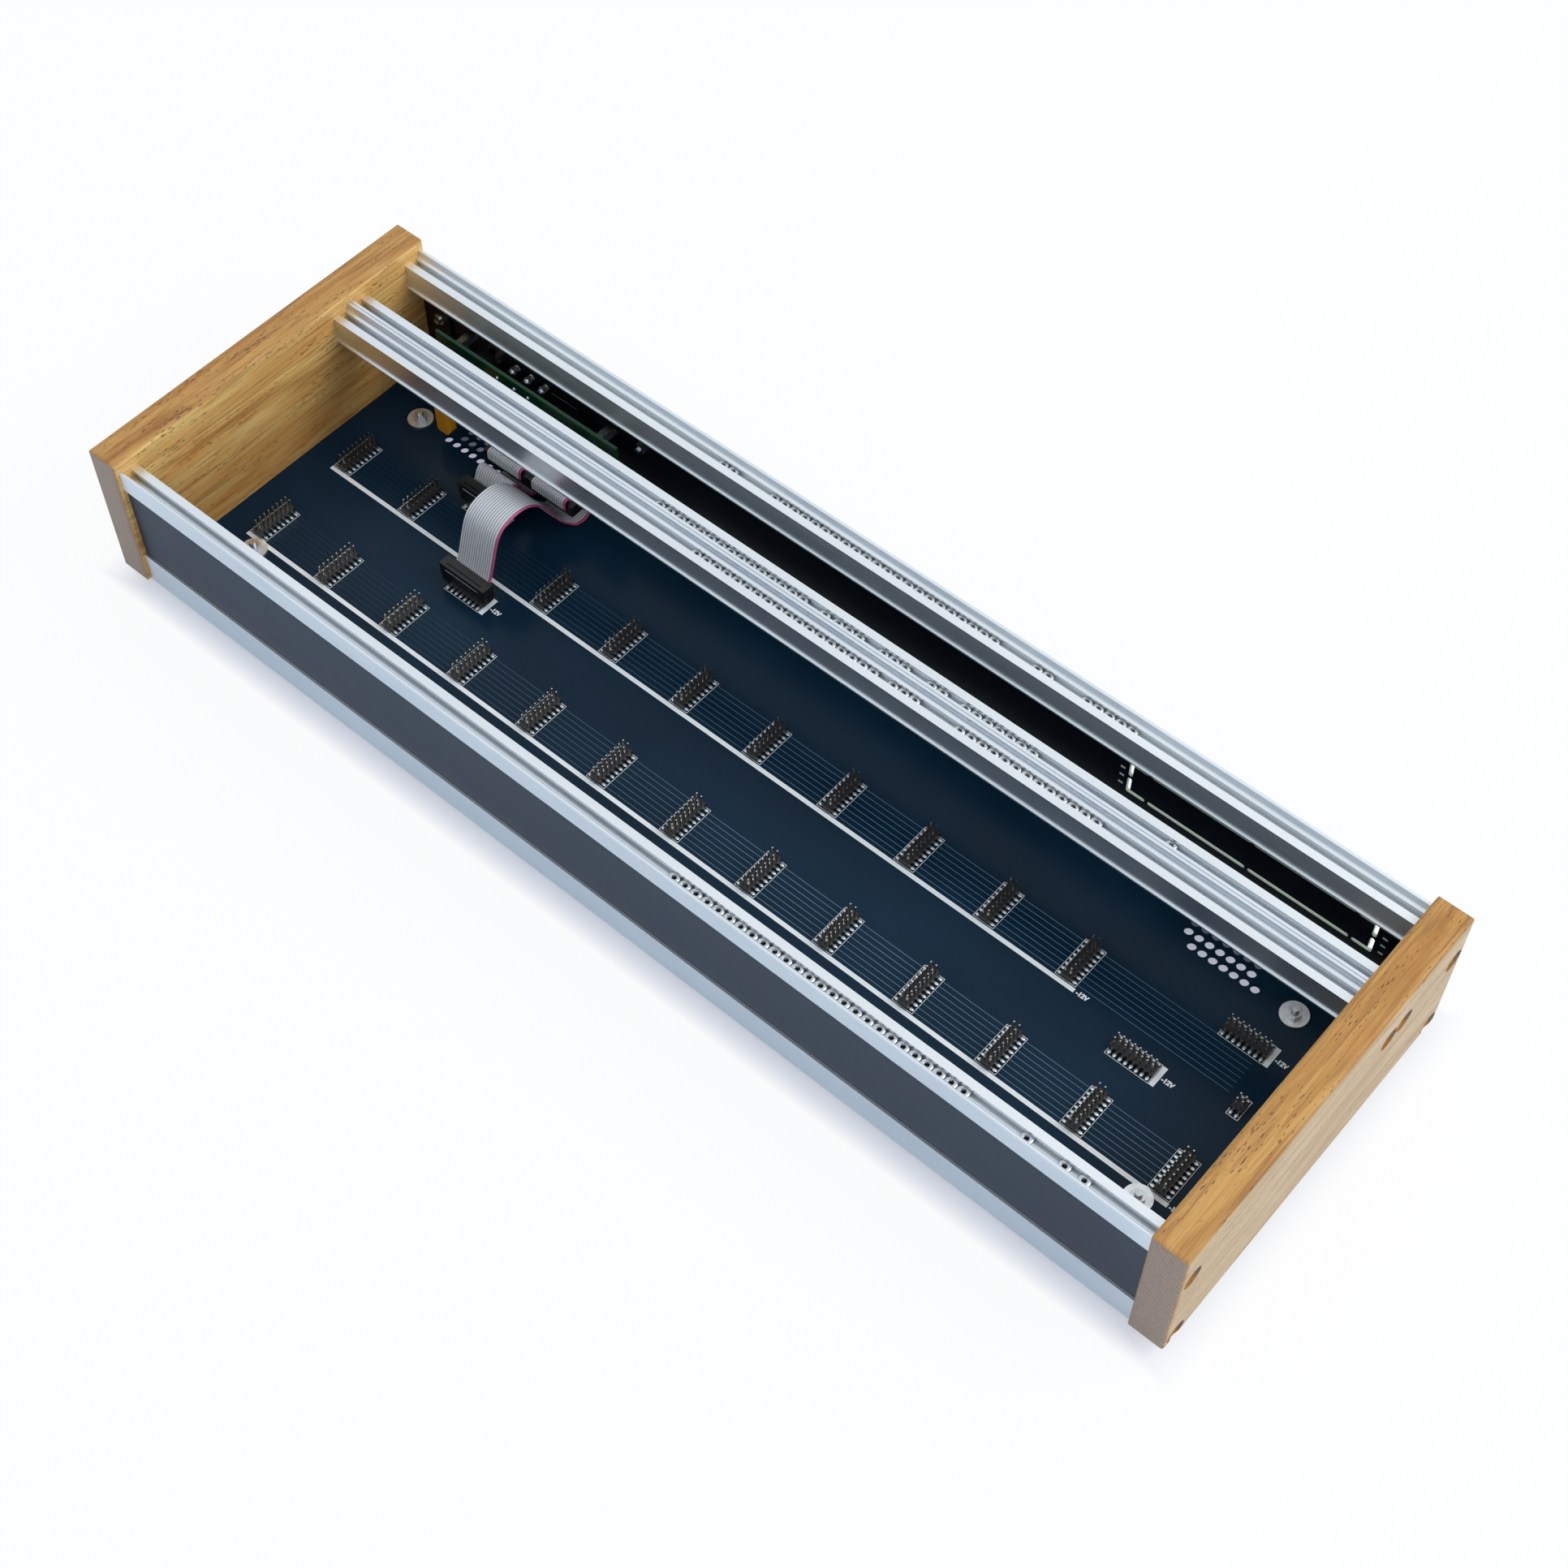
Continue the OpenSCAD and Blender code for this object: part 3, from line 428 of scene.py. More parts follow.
def copper_under_resist():
    """Tracks under black resist. They get paler to the right: a painted sheen."""
    material, tree, where = start_material("copper_under_resist")
    to_right = add(tree, "ShaderNodeSeparateXYZ", {0: where}).outputs["X"]
    cloud = add(tree, "ShaderNodeTexNoise", {
        "Vector": add(tree, "ShaderNodeMapping", {
            "Vector": where, "Scale": per_mm(40, 40, 40),
        }).outputs[0],
        "Scale": 1.0, "Detail": 2.0,
    }).outputs["Fac"]
    # Painted sheen: the tracks get paler towards the right, with a random cloud in the tone
    paler = add(tree, "ShaderNodeMath", {
        0: add(tree, "ShaderNodeMapRange", {
            "Value": to_right, "From Min": -160 * MM, "From Max": 40 * MM,
        }).outputs[0],
        1: add(tree, "ShaderNodeMapRange", {
            "Value": cloud, "From Min": 0.3, "From Max": 0.7, "To Min": 0.75, "To Max": 1.0,
        }).outputs[0],
    }, operation="MULTIPLY").outputs[0]
    add(tree, "ShaderNodeOutputMaterial", {
        "Surface": add(tree, "ShaderNodeBsdfPrincipled", {
            "Base Color": add(tree, "ShaderNodeMix", {
                0: paler, 6: linear("#1B3241"), 7: linear("#557990"),
            }, data_type="RGBA").outputs[2],
            "Roughness": 0.24, "IOR": 1.5, "Specular IOR Level": 0.25,
        }).outputs[0],
    })
    return material


COVERED_COPPER = copper_under_resist()
# The last stretch of copper under resist, to the right: painted paler still, a painted sheen
WIDE_COPPER = solder_resist("supply_copper_under_resist", "#456A82", "#3A5A70", 0.24, 0.05, 0.3)
# White epoxy marking ink: flat, cool white, slightly rough
SILK_INK = solder_resist("white_marking_ink", "#EFF5F9", "#E5EDF2", 0.55, 0.05)
print("board finishes ready")

# %% [markdown]
# ## Moulded plastics, plating and rubber
# Header bases and sockets are glass-filled nylon, moulded with a faint grain. Pins are tinned,
# screws and nuts are bright zinc, and each is a little uneven where the bath was. The feet are
# plain rubber, dull and very slightly dusty.

# %% Plastics and platings
def grained(name, first, second, grain_mm, rough, metallic=0.0, bump_mm=0.02, ior=1.5):
    """Two close tones in a fine grain; a metal keeps the default IOR."""
    material, tree, where = start_material(name)
    grain = add(tree, "ShaderNodeTexNoise", {
        "Vector": add(tree, "ShaderNodeMapping", {
            "Vector": where, "Scale": per_mm(grain_mm, grain_mm, grain_mm),
        }).outputs[0],
        "Scale": 1.0, "Detail": 3.0,
    }).outputs["Fac"]
    bump = add(tree, "ShaderNodeBump", {
        "Height": grain, "Strength": 0.3, "Distance": bump_mm * MM,
    })
    add(tree, "ShaderNodeOutputMaterial", {
        "Surface": add(tree, "ShaderNodeBsdfPrincipled", {
            "Base Color": add(tree, "ShaderNodeMix", {
                0: add(tree, "ShaderNodeMapRange", {
                    "Value": grain, "From Min": 0.3, "From Max": 0.7,
                }).outputs[0],
                6: linear(first), 7: linear(second),
            }, data_type="RGBA").outputs[2],
            "Metallic": metallic, "Normal": bump.outputs[0],
            "Roughness": add(tree, "ShaderNodeMapRange", {
                "Value": grain, "From Min": 0.3, "From Max": 0.7, "To Min": rough - 0.05,
                "To Max": rough + 0.05,
            }).outputs[0],
            **({} if metallic else {"IOR": ior}),
        }).outputs[0],
    })
    return material


# Glass-filled black nylon, moulded: near black, with a dull broad highlight
BLACK_NYLON = grained("glass_filled_black_nylon", "#0B0C0E", "#121316", 0.5, 0.38)
# Black powder coat on the power plate: matt, with a fine orange peel
PLATE_PAINT = grained("black_powder_coat", "#080C11", "#0C1117", 0.5, 0.5)
# Bright tin plate on drawn pins: grey mirror sides that show the black board
TINNED = grained("bright_tin_plate", "#BDBDBA", "#A5A5A2", 0.8, 0.18, 1.0, 0.01)
# Bright zinc plate on nuts and screws: blue-white and slightly uneven
ZINC = grained("bright_zinc_plate", "#D5D9DC", "#BFC4C9", 1.5, 0.24, 1.0, 0.01)
# Barrel-tumbled zinc washers: the same metal, scratched to a pale satin
WASHER_ZINC = grained("tumbled_zinc_washers", "#ECEEEF", "#D8DBDD", 1.5, 0.42, 1.0, 0.01)
# Bright nickel plate on the jack ring: a warm mirror
NICKEL = grained("bright_nickel_plate", "#D8D5CE", "#C6C2BA", 2.0, 0.16, 1.0, 0.01)
# Moulded black rubber: dull charcoal with a dusty grain
FOOT_RUBBER = grained("moulded_black_rubber", "#17181A", "#222326", 0.6, 0.75, 0.0, 0.05)
# Yellow epoxy, dipped: thick, glossy and a little wavy
YELLOW_LACQUER = grained("dipped_yellow_epoxy", "#D99A1E", "#C98712", 1.2, 0.26, 0.0, 0.05, 1.55)
# Solder, frozen in air: bright grey with a frosted skin
SOLDER = grained("solder_fillet", "#F4F5F6", "#E6E8EA", 0.6, 0.5, 1.0, 0.02)
print("plastics and platings ready")

# %% Clear lamp epoxy
# Water-clear cast epoxy: mostly light passes through, and small highlights mark its edge
CLEAR_EPOXY, tree, where = start_material("water_clear_epoxy")
haze = add(tree, "ShaderNodeTexNoise", {
    "Vector": add(tree, "ShaderNodeMapping", {
        "Vector": where, "Scale": per_mm(1.2, 1.2, 1.2),
    }).outputs[0],
    "Scale": 1.0, "Detail": 1.0,
}).outputs["Fac"]
add(tree, "ShaderNodeOutputMaterial", {
    "Surface": add(tree, "ShaderNodeBsdfPrincipled", {
        "Base Color": add(tree, "ShaderNodeMix", {
            0: haze, 6: linear("#E8EDF0"), 7: linear("#D8E0E6"),
        }, data_type="RGBA").outputs[2],
        "Roughness": 0.04, "IOR": 1.52, "Transmission Weight": 0.85,
    }).outputs[0],
})
print(CLEAR_EPOXY.name)

# %% [markdown]
# ## Dress the solids
# A solid whose shape is already right keeps its mesh and only takes a better finish.

# %% Finishes on the solids
FINISHES = {
    "oiled_oak": HARDWOOD, "anodised_aluminium": RAIL_METAL, "black_front_panel": SATIN_RESIST,
    "black_board": BLACK_RESIST, "black_nylon": BLACK_NYLON, "tinned_pins": TINNED,
    "plate_aluminium": PLATE_PAINT, "green_board": GREEN_RESIST, "nickel_ring": NICKEL,
    "clear_epoxy": CLEAR_EPOXY, "yellow_epoxy": YELLOW_LACQUER, "zinc_steel": ZINC,
    "black_rubber": FOOT_RUBBER,
}
for part in frame["record"]["subparts"]:
    finish = FINISHES.get(part["material_slot"])
    if finish is None:
        continue
    solid = nodes[part["node"]]
    solid.data.materials.clear()
    solid.data.materials.append(finish)
OWN_FINISHES = {
    "back_panel": CUT_PANEL, "foot_washers": WASHER_ZINC, "rear_upper_rail": REAR_RAIL_METAL,
}
for node, finish in OWN_FINISHES.items():
    nodes[node].data.materials.clear()
    nodes[node].data.materials.append(finish)

# %% [markdown]
# ## Flat print
# Marking ink and covered copper are films a few hundredths of a millimetre thick. Each is drawn
# as flat faces just above the board, so it catches light as ink does and can't flicker against
# the board. One helper turns a list of rectangles into one such film.

# %% Helpers for pieces
INK_LIFT = 0.04


def keep(mesh, name, material):
    """Makes an object of a mesh, gives it its finish and lets it ride on the case."""
    mesh.materials.clear()
    mesh.materials.append(material)
    piece = bpy.data.objects.new(name, mesh)
    bpy.context.scene.collection.objects.link(piece)
    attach(piece, "root")
    return piece


def add_bar(bm, x0, y0, x1, y1, z, width):
    """A flat bar between two points of the board, in millimetres."""
    along = Vector((x1 - x0, y1 - y0)).normalized()
    across = Vector((-along.y, along.x)) * width / 2
    corners = [(x0 - across.x, y0 - across.y), (x1 - across.x, y1 - across.y),
               (x1 + across.x, y1 + across.y), (x0 + across.x, y0 + across.y)]
    bm.faces.new([bm.verts.new(place(x, y, z)) for x, y in corners])


def film(name, bars, z, material, slot):
    """One flat film made of bars (x0, y0, x1, y1, width)."""
    bm = bmesh.new()
    for x0, y0, x1, y1, width in bars:
        add_bar(bm, x0, y0, x1, y1, z, width)
    bmesh.ops.recalc_face_normals(bm, faces=bm.faces)
    for face in bm.faces:
        if face.normal.z < 0:
            face.normal_flip()
    mesh = bpy.data.meshes.new(name)
    bm.to_mesh(mesh)
    bm.free()
    piece = keep(mesh, name, material)
    print(name, len(bars), "bars")
    return piece


print("ink stands", INK_LIFT, "mm above the board")

# %% Where the headers stand
UNIT = 5.08
PIN_PITCH = 2.54
HEADER_STEP = 8 * UNIT
HEADER_LEN = 8 * PIN_PITCH
OUTLINE_WIDTH = 10.0
FRONT_ROW_Y = 57.3
REAR_ROW_Y = FRONT_ROW_Y + 10 * UNIT
front_xs = [(k + 0.5) * HEADER_STEP for k in range(int(BAY_LEN / HEADER_STEP + 0.01))]
rear_xs = [x for k, x in enumerate(front_xs[:-2]) if k != 2]
cross_headers = [(113.8, 84.4), (86.9, 122.4), (BAY_LEN - 60.7, 87.0), (BAY_LEN - 32.5, 121.9)]
small_header = (BAY_LEN - 18.2, FRONT_ROW_Y + 38.7)
print(len(front_xs), "front headers,", len(rear_xs), "rear headers")

# %% [markdown]
# ## Printed outlines, by Geometry Nodes
# Every header stands in the same printed rectangle. One tree draws the rectangle as a curve,
# gives it the width of the printed line, and sets a copy on every point of a small mesh. Each
# point carries its own turn, so the crosswise headers come from the same tree.

# %% Geometry Nodes helpers
def start_tree(name, inputs):
    """A new tree with named inputs after the geometry; returns it with its input node."""
    tree = bpy.data.node_groups.new(name, "GeometryNodeTree")
    tree.interface.new_socket(name="Geometry", in_out="INPUT", socket_type="NodeSocketGeometry")
    for label, kind in inputs:
        tree.interface.new_socket(name=label, in_out="INPUT", socket_type=kind)
    tree.interface.new_socket(name="Geometry", in_out="OUTPUT", socket_type="NodeSocketGeometry")
    return tree, add(tree, "NodeGroupInput")


def end_tree(tree, geometry, material):
    real = add(tree, "GeometryNodeRealizeInstances", {"Geometry": geometry})
    painted = add(tree, "GeometryNodeSetMaterial", {
        "Geometry": real.outputs[0], "Material": material,
    })
    add(tree, "NodeGroupOutput", {0: painted.outputs[0]})


def grow(name, tree, points, values, attributes=None):
    """Runs a tree on a mesh of points (metres) and returns the plain mesh it makes."""
    mesh = bpy.data.meshes.new(name + "_points")
    mesh.from_pydata([tuple(p) for p in points], [], [])
    for label, (kind, numbers) in (attributes or {}).items():
        attribute = mesh.attributes.new(label, kind, "POINT")
        attribute.data.foreach_set("value", numbers)
    carrier = bpy.data.objects.new(name + "_carrier", mesh)
    bpy.context.scene.collection.objects.link(carrier)
    modifier = carrier.modifiers.new("grow", "NODES")
    modifier.node_group = tree
    for item in tree.interface.items_tree:
        if item.in_out == "INPUT" and item.name in values:
            modifier[item.identifier] = values[item.name]
    bpy.context.view_layer.update()
    ready = carrier.evaluated_get(bpy.context.evaluated_depsgraph_get())
    result = bpy.data.meshes.new_from_object(ready)
    carrier.modifiers.remove(modifier)
    bpy.data.objects.remove(carrier)
    print(name, len(result.polygons), "faces")
    return result


print("tree helpers ready")


# %% Header outlines
def outline_tree():
    tree, given = start_tree("printed_outlines", [
        ("Length", "NodeSocketFloat"), ("Width", "NodeSocketFloat"), ("Line", "NodeSocketFloat"),
    ])
    frame_curve = add(tree, "GeometryNodeCurvePrimitiveQuadrilateral", {
        "Width": given.outputs["Length"], "Height": given.outputs["Width"],
    })
    half = add(tree, "ShaderNodeMath", {
        0: given.outputs["Line"], 1: 0.5,
    }, operation="MULTIPLY").outputs[0]
    minus = add(tree, "ShaderNodeMath", {0: half, 1: -1.0}, operation="MULTIPLY").outputs[0]
    line = add(tree, "GeometryNodeCurvePrimitiveLine", {
        "Start": add(tree, "ShaderNodeCombineXYZ", {"X": minus}).outputs[0],
        "End": add(tree, "ShaderNodeCombineXYZ", {"X": half}).outputs[0],
    })
    drawn = add(tree, "GeometryNodeCurveToMesh", {
        "Curve": frame_curve.outputs[0], "Profile Curve": line.outputs[0],
    })
    turn = add(tree, "GeometryNodeInputNamedAttribute", {"Name": "turn"}, data_type="FLOAT")
    copies = add(tree, "GeometryNodeInstanceOnPoints", {
        "Points": given.outputs["Geometry"], "Instance": drawn.outputs[0],
        "Rotation": add(tree, "ShaderNodeCombineXYZ", {"Z": turn.outputs[0]}).outputs[0],
    })
    end_tree(tree, copies.outputs[0], SILK_INK)
    return tree


ink_z = BOARD_TOP + INK_LIFT
long_way = [(x, FRONT_ROW_Y) for x in front_xs] + [(x, REAR_ROW_Y) for x in rear_xs]
outline_points = [place(x, y, ink_z) for x, y in long_way + cross_headers]
turns = [math.pi / 2] * len(long_way) + [0.0] * len(cross_headers)
outlines = grow("header_outlines", outline_tree(), outline_points, {
    "Length": HEADER_LEN * MM, "Width": OUTLINE_WIDTH * MM, "Line": 0.3 * MM,
}, {"turn": ("FLOAT", turns)})
outlines = keep(outlines, "printed_header_outlines", SILK_INK)

# %% [markdown]
# ## Solder on the header leads, by Geometry Nodes
# Each header is surface mounted: its leads lie flat on tinned pads, and the solder has climbed
# over their ends. From above these are the brightest spots of the board, like a row of teeth.
# One low rounded pillow is set on every lead; a header turned across gets its pads turned too.

# %% Solder pillows
def pillow_tree():
    tree, given = start_tree(
        "solder_pillows",
        [
            ("Length", "NodeSocketFloat"), ("Width", "NodeSocketFloat"),
            ("Height", "NodeSocketFloat"),
        ],
    )
    ball = add(tree, "GeometryNodeMeshUVSphere", {"Segments": 12, "Rings": 6, "Radius": 0.5})
    size = add(tree, "ShaderNodeCombineXYZ", {
        "X": given.outputs["Width"], "Y": given.outputs["Length"], "Z": given.outputs["Height"],
    }).outputs[0]
    flat = add(tree, "GeometryNodeTransform", {"Geometry": ball.outputs[0], "Scale": size})
    soft = add(tree, "GeometryNodeSetShadeSmooth", {"Geometry": flat.outputs[0]})
    turn = add(tree, "GeometryNodeInputNamedAttribute", {"Name": "turn"}, data_type="FLOAT")
    copies = add(tree, "GeometryNodeInstanceOnPoints", {
        "Points": given.outputs["Geometry"], "Instance": soft.outputs[0],
        "Rotation": add(tree, "ShaderNodeCombineXYZ", {"Z": turn.outputs[0]}).outputs[0],
    })
    end_tree(tree, copies.outputs[0], SOLDER)
    return tree


LEAD_OUT = 3.55
lead_spots, lead_turns = [], []
headers = [(x, y, 8, True) for x, y in long_way] + [(x, y, 8, False) for x, y in cross_headers]
headers.append((*small_header, 2, False))
for x, y, columns, turned in headers:
    for i in range(columns):
        step = (i - (columns - 1) / 2) * PIN_PITCH
        for side in (-1, 1):
            dx, dy = (side * LEAD_OUT, step) if turned else (step, side * LEAD_OUT)
            lead_spots.append(place(x + dx, y + dy, BOARD_TOP + 0.42))
            lead_turns.append(math.pi / 2 if turned else 0.0)
pillows = grow("header_solder", pillow_tree(), lead_spots, {
    "Length": 2.5 * MM, "Width": 1.5 * MM, "Height": 0.45 * MM,
}, {"turn": ("FLOAT", lead_turns)})
keep(pillows, "header_lead_solder", SOLDER)

# %% [markdown]
# ## Strips, bars and copper
# Two long white bars mark the minus side of each header row, a short one does so beside each
# crosswise header, and the supply lines run from header to header as eight parallel traces
# whose copper shows through the resist as a paler line.

# %% White bars
FRONT_BAR_Y = 45.6
REAR_BAR_Y = REAR_ROW_Y - 11.8
BAR_START = 15.1
REAR_BAR_END = 432.4
LONG_BAR = 2.0
SHORT_BAR = 2.2
SHORT_BAR_OUT = 11.6
THIN_LINE = 0.3
bars = [
    (BAR_START, FRONT_BAR_Y, BAY_LEN - 14.9, FRONT_BAR_Y, LONG_BAR),
    (BAR_START, REAR_BAR_Y, REAR_BAR_END, REAR_BAR_Y, LONG_BAR),
]
for x, y in cross_headers:
    bars.append((x + SHORT_BAR_OUT, y - 5, x + SHORT_BAR_OUT, y + 5, SHORT_BAR))
corners = [(-2.6, -5), (2.6, -5), (2.6, 5), (-2.6, 5)]
for (ax, ay), (bx, by) in zip(corners, corners[1:] + corners[:1]):
    sx, sy = small_header
    bars.append((sx + ax, sy + ay, sx + bx, sy + by, THIN_LINE))
film("printed_bars", bars, ink_z, SILK_INK, "black_board")


# %% Copper traces
def lanes(y, start, end, width):
    """Eight straight traces, one for each pair of pins, from start to end."""
    return [
        (
            start, y + (i - 3.5) * PIN_PITCH, end, y + (i - 3.5) * PIN_PITCH, width,
        ) for i in range(8)
    ]


TRACE_CLEAR = OUTLINE_WIDTH / 2 + 0.3
traces = []
for xs, y in ((front_xs, FRONT_ROW_Y), (rear_xs, REAR_ROW_Y)):
    for left, right in zip(xs[:-1], xs[1:]):
        traces += lanes(y, left + TRACE_CLEAR, right - TRACE_CLEAR, THIN_LINE)
film("copper_traces", traces, BOARD_TOP + INK_LIFT / 2, COVERED_COPPER, "black_board")
supply = lanes(REAR_ROW_Y, rear_xs[-1] + TRACE_CLEAR, BAY_LEN - 25, 0.32)
film("supply_traces", supply, BOARD_TOP + INK_LIFT / 2, WIDE_COPPER, "black_board")

# %% [markdown]
# ## Voltage marks
# The only words on the board that any such board needs are the supply marks. A text object is
# turned into a flat mesh before its place is applied.

# %% Supply marks
FONT_PER_CAPITAL = 1.38


def mark(name, words, height_mm, spots):
    """The same words printed at several places of the board, as one flat mesh."""
    curve = bpy.data.curves.new(name, "FONT")
    curve.body = words
    curve.size = height_mm * MM * FONT_PER_CAPITAL
    curve.align_y = "CENTER"
    curve.offset = 0.16 * MM
    writer = bpy.data.objects.new(name + "_writer", curve)
    bpy.context.scene.collection.objects.link(writer)
    bpy.context.view_layer.update()
    flat = bpy.data.meshes.new_from_object(
        writer.evaluated_get(bpy.context.evaluated_depsgraph_get())
    )
    bpy.data.objects.remove(writer)
    bm = bmesh.new()
    for x, y, z in spots:
        copy = flat.copy()
        copy.transform(Matrix.Translation(place(x, y, z)))
        bm.from_mesh(copy)
        bpy.data.meshes.remove(copy)
    mesh = bpy.data.meshes.new(name)
    bm.to_mesh(mesh)
    bm.free()
    print(name, len(spots), "marks")
    return keep(mesh, name, SILK_INK)


MARK_OUT = 13.2
mark_spots = [(BAY_LEN - 14.2, FRONT_BAR_Y, ink_z), (REAR_BAR_END + 1, REAR_BAR_Y, ink_z)]
mark_spots += [(x + MARK_OUT, y, ink_z) for x, y in (cross_headers[k] for k in (2, 3, 0))]
mark("supply_marks", "-12V", 2.05, mark_spots)

# %% [markdown]
# ## Marks on the back panel
# Three short dashes stand at each end of the knock-out, and one thin line runs beside the
# power lamps. They are printed on the panel's inner face.

# %% Panel marks
def panel_film(name, rects, y):
    """Upright printed rectangles (x0, z0, x1, z1) on a face that looks towards -Y."""
    bm = bmesh.new()
    for x0, z0, x1, z1 in rects:
        bm.faces.new(
            [bm.verts.new(place(x, y, z)) for x, z in ((x0, z0), (x1, z0), (x1, z1), (x0, z1))]
        )
    mesh = bpy.data.meshes.new(name)
    bm.to_mesh(mesh)
    bm.free()
    print(name, len(rects), "marks")
    return keep(mesh, name, SILK_INK)


panel_face = in_case("back_panel")[0].y - INK_LIFT
dash_x, dash_z = 1.1, 0.6
marks = [(79.5, 33.6, 95.3, 33.85)]
for x in (393.9, 517.0):
    marks += [(x - dash_x, z - dash_z, x + dash_x, z + dash_z) for z in (25.3, 30.4, 35.4)]
panel_film("panel_marks", marks, panel_face)

# %% [markdown]
# ## Ribbon cables, by Geometry Nodes
# A ribbon cable is sixteen round cores side by side in one skin, one edge core in another
# colour so it can't be plugged in backwards. The tree sweeps the ribbed section along the
# cable's route. The route is the one that the solid follows, point for point.

# %% The cables' routes
CORES = 16
CORE_PITCH = 1.27
CORE_R = 0.45
socket_top = in_case("bus_sockets")[1].z
CLAMP_GAP = 0.48
clamp_z = socket_top + CLAMP_GAP
power_low, power_high = in_case("power_sockets")
clamp_y = power_low.y - CLAMP_GAP
power_z = (power_low.z + power_high.z) / 2
FRONT_ARCH = [
    (-2.9, 0), (0, 0), (2.3, 0), (3.3, 0.02), (4.3, 0.5), (5.3, 1.9), (6.8, 6), (11.2, 19),
    (14.6, 24.2), (19, 26.6), (24.2, 27.3), (30, 26.4), (36, 22.6), (40.8, 16.6), (44.7, 9),
    (49.4, 0.6),
]
REAR_ARCH = [
    (-2.9, 0), (0, 0), (2.3, 0), (3.3, 0.02), (4.3, 0.5), (5.2, 1.8), (6.5, 4.9), (8.8, 6.6),
    (11.4, 4.6), (14, -1),
]
TAIL = [
    (1.6, -14), (4.6, -15.5), (8, -15.8), (11.4, -14), (12.6, -10.6), (10.6, -7.6), (6.6, -6.8),
    (2.6, -6.6), (0.8, -5.7), (0.1, -4.4), (0, -3.2), (0, 0), (0, 2.3), (-0.02, 3.3), (-0.5, 4.5),
    (-1.65, 5), (-2.85, 4.5), (-3.3, 3.3), (-3.3, 1.6), (-3.3, 0),
]
CURVE_STEPS = 6


def smooth(points, steps):
    """A smooth path through the points, by the same rule as the solid's."""
    path = []
    for i in range(len(points) - 1):
        a, b = points[max(i - 1, 0)], points[i]
        c, d = points[i + 1], points[min(i + 2, len(points) - 1)]
        for k in range(steps):
            t = k / steps
            path.append(tuple(
                0.5 * (2 * q + (r - p) * t + (2 * p - 5 * q + 4 * r - s) * t * t
                       + (3 * q - p - 3 * r + s) * t ** 3)
                for p, q, r, s in zip(a, b, c, d)
            ))
    return path + [points[-1]]


def cable_path(x, y, arch):
    route = [(y + py, clamp_z + pz) for py, pz in arch]
    route += [(clamp_y + py, power_z + pz) for py, pz in TAIL]
    path = [place(x, py, pz) for py, pz in smooth(route, CURVE_STEPS)]
    length = sum((b - a).length for a, b in zip(path, path[1:]))
    print("cable path", len(path), "points,", round(length / MM, 1), "mm")
    return path


# %% The ribbed section
def ribbed_section():
    """Half-round cores above and below a thin web, as one closed loop in millimetres."""
    upper = []
    for core in range(CORES):
        centre = (core - (CORES - 1) / 2) * CORE_PITCH
        for step in range(5):
            angle = math.pi * (1 - step / 4)
            upper.append((centre + math.cos(angle) * CORE_PITCH / 2,
                          0.12 + math.sin(angle) * (CORE_R - 0.12)))
    lower = [(x, -z) for x, z in reversed(upper)]
    return upper + lower


def cable_tree():
    tree, given = start_tree("ribbon_cable", [
        ("Path", "NodeSocketObject"), ("Section", "NodeSocketObject"),
    ])
    path = add(tree, "GeometryNodeObjectInfo", {"Object": given.outputs["Path"]})
    section = add(tree, "GeometryNodeObjectInfo", {"Object": given.outputs["Section"]})
    skin = add(tree, "GeometryNodeCurveToMesh", {
        "Curve": path.outputs["Geometry"], "Profile Curve": section.outputs["Geometry"],
        "Fill Caps": True,
    })
    smooth_skin = add(tree, "GeometryNodeSetShadeSmooth", {"Geometry": skin.outputs[0]})
    end_tree(tree, smooth_skin.outputs[0], None)
    return tree


ribbon_tree = cable_tree()
print("section has", len(ribbed_section()), "points")


# %% Guides for the sweep
def polyline(name, points, closed):
    curve = bpy.data.curves.new(name, "CURVE")
    curve.dimensions = "3D"
    spline = curve.splines.new("POLY")
    spline.points.add(len(points) - 1)
    for slot_point, p in zip(spline.points, points):
        slot_point.co = (*p, 1)
    spline.use_cyclic_u = closed
    guide = bpy.data.objects.new(name, curve)
    bpy.context.scene.collection.objects.link(guide)
    return guide


section_guide = polyline(
    "section_guide", [(x * MM, z * MM, 0) for x, z in ribbed_section()], True,
)
print(section_guide.name)

# %% Cable skin
# Grey flexible PVC, extruded: a soft sheen on each core, painted shade that darkens the valleys
# between them, and a dull pink marker core on the right. "across" runs from 0 to 1 over the
# cable's own width.
RIBBON_VINYL, tree, where = start_material("grey_ribbon_vinyl")
core = add(tree, "ShaderNodeAttribute", attribute_name="across").outputs["Fac"]
grain = add(tree, "ShaderNodeTexNoise", {
    "Vector": add(tree, "ShaderNodeMapping", {
        "Vector": where, "Scale": per_mm(3, 3, 3),
    }).outputs[0],
    "Scale": 1.0, "Detail": 2.0,
}).outputs["Fac"]
grey = add(tree, "ShaderNodeMix", {
    0: grain, 6: linear("#D3D7DC"), 7: linear("#C4C9D0"),
}, data_type="RGBA").outputs[2]
count = add(tree, "ShaderNodeMath", {0: core, 1: float(CORES)}, operation="MULTIPLY").outputs[0]
wave = add(tree, "ShaderNodeMath", {0: count}, operation="FRACT").outputs[0]
middle = add(tree, "ShaderNodeMath", {0: wave, 1: 0.5}, operation="SUBTRACT").outputs[0]
off_middle = add(tree, "ShaderNodeMath", {0: middle}, operation="ABSOLUTE").outputs[0]
# Painted shade: the valleys between the cores are darkened
grey = add(tree, "ShaderNodeMix", {
    0: add(tree, "ShaderNodeMapRange", {
        "Value": off_middle, "From Min": 0.26, "From Max": 0.5,
    }).outputs[0],
    6: grey, 7: linear("#5D6269"),
}, data_type="RGBA").outputs[2]
edge_core = (CORES - 1) / CORES
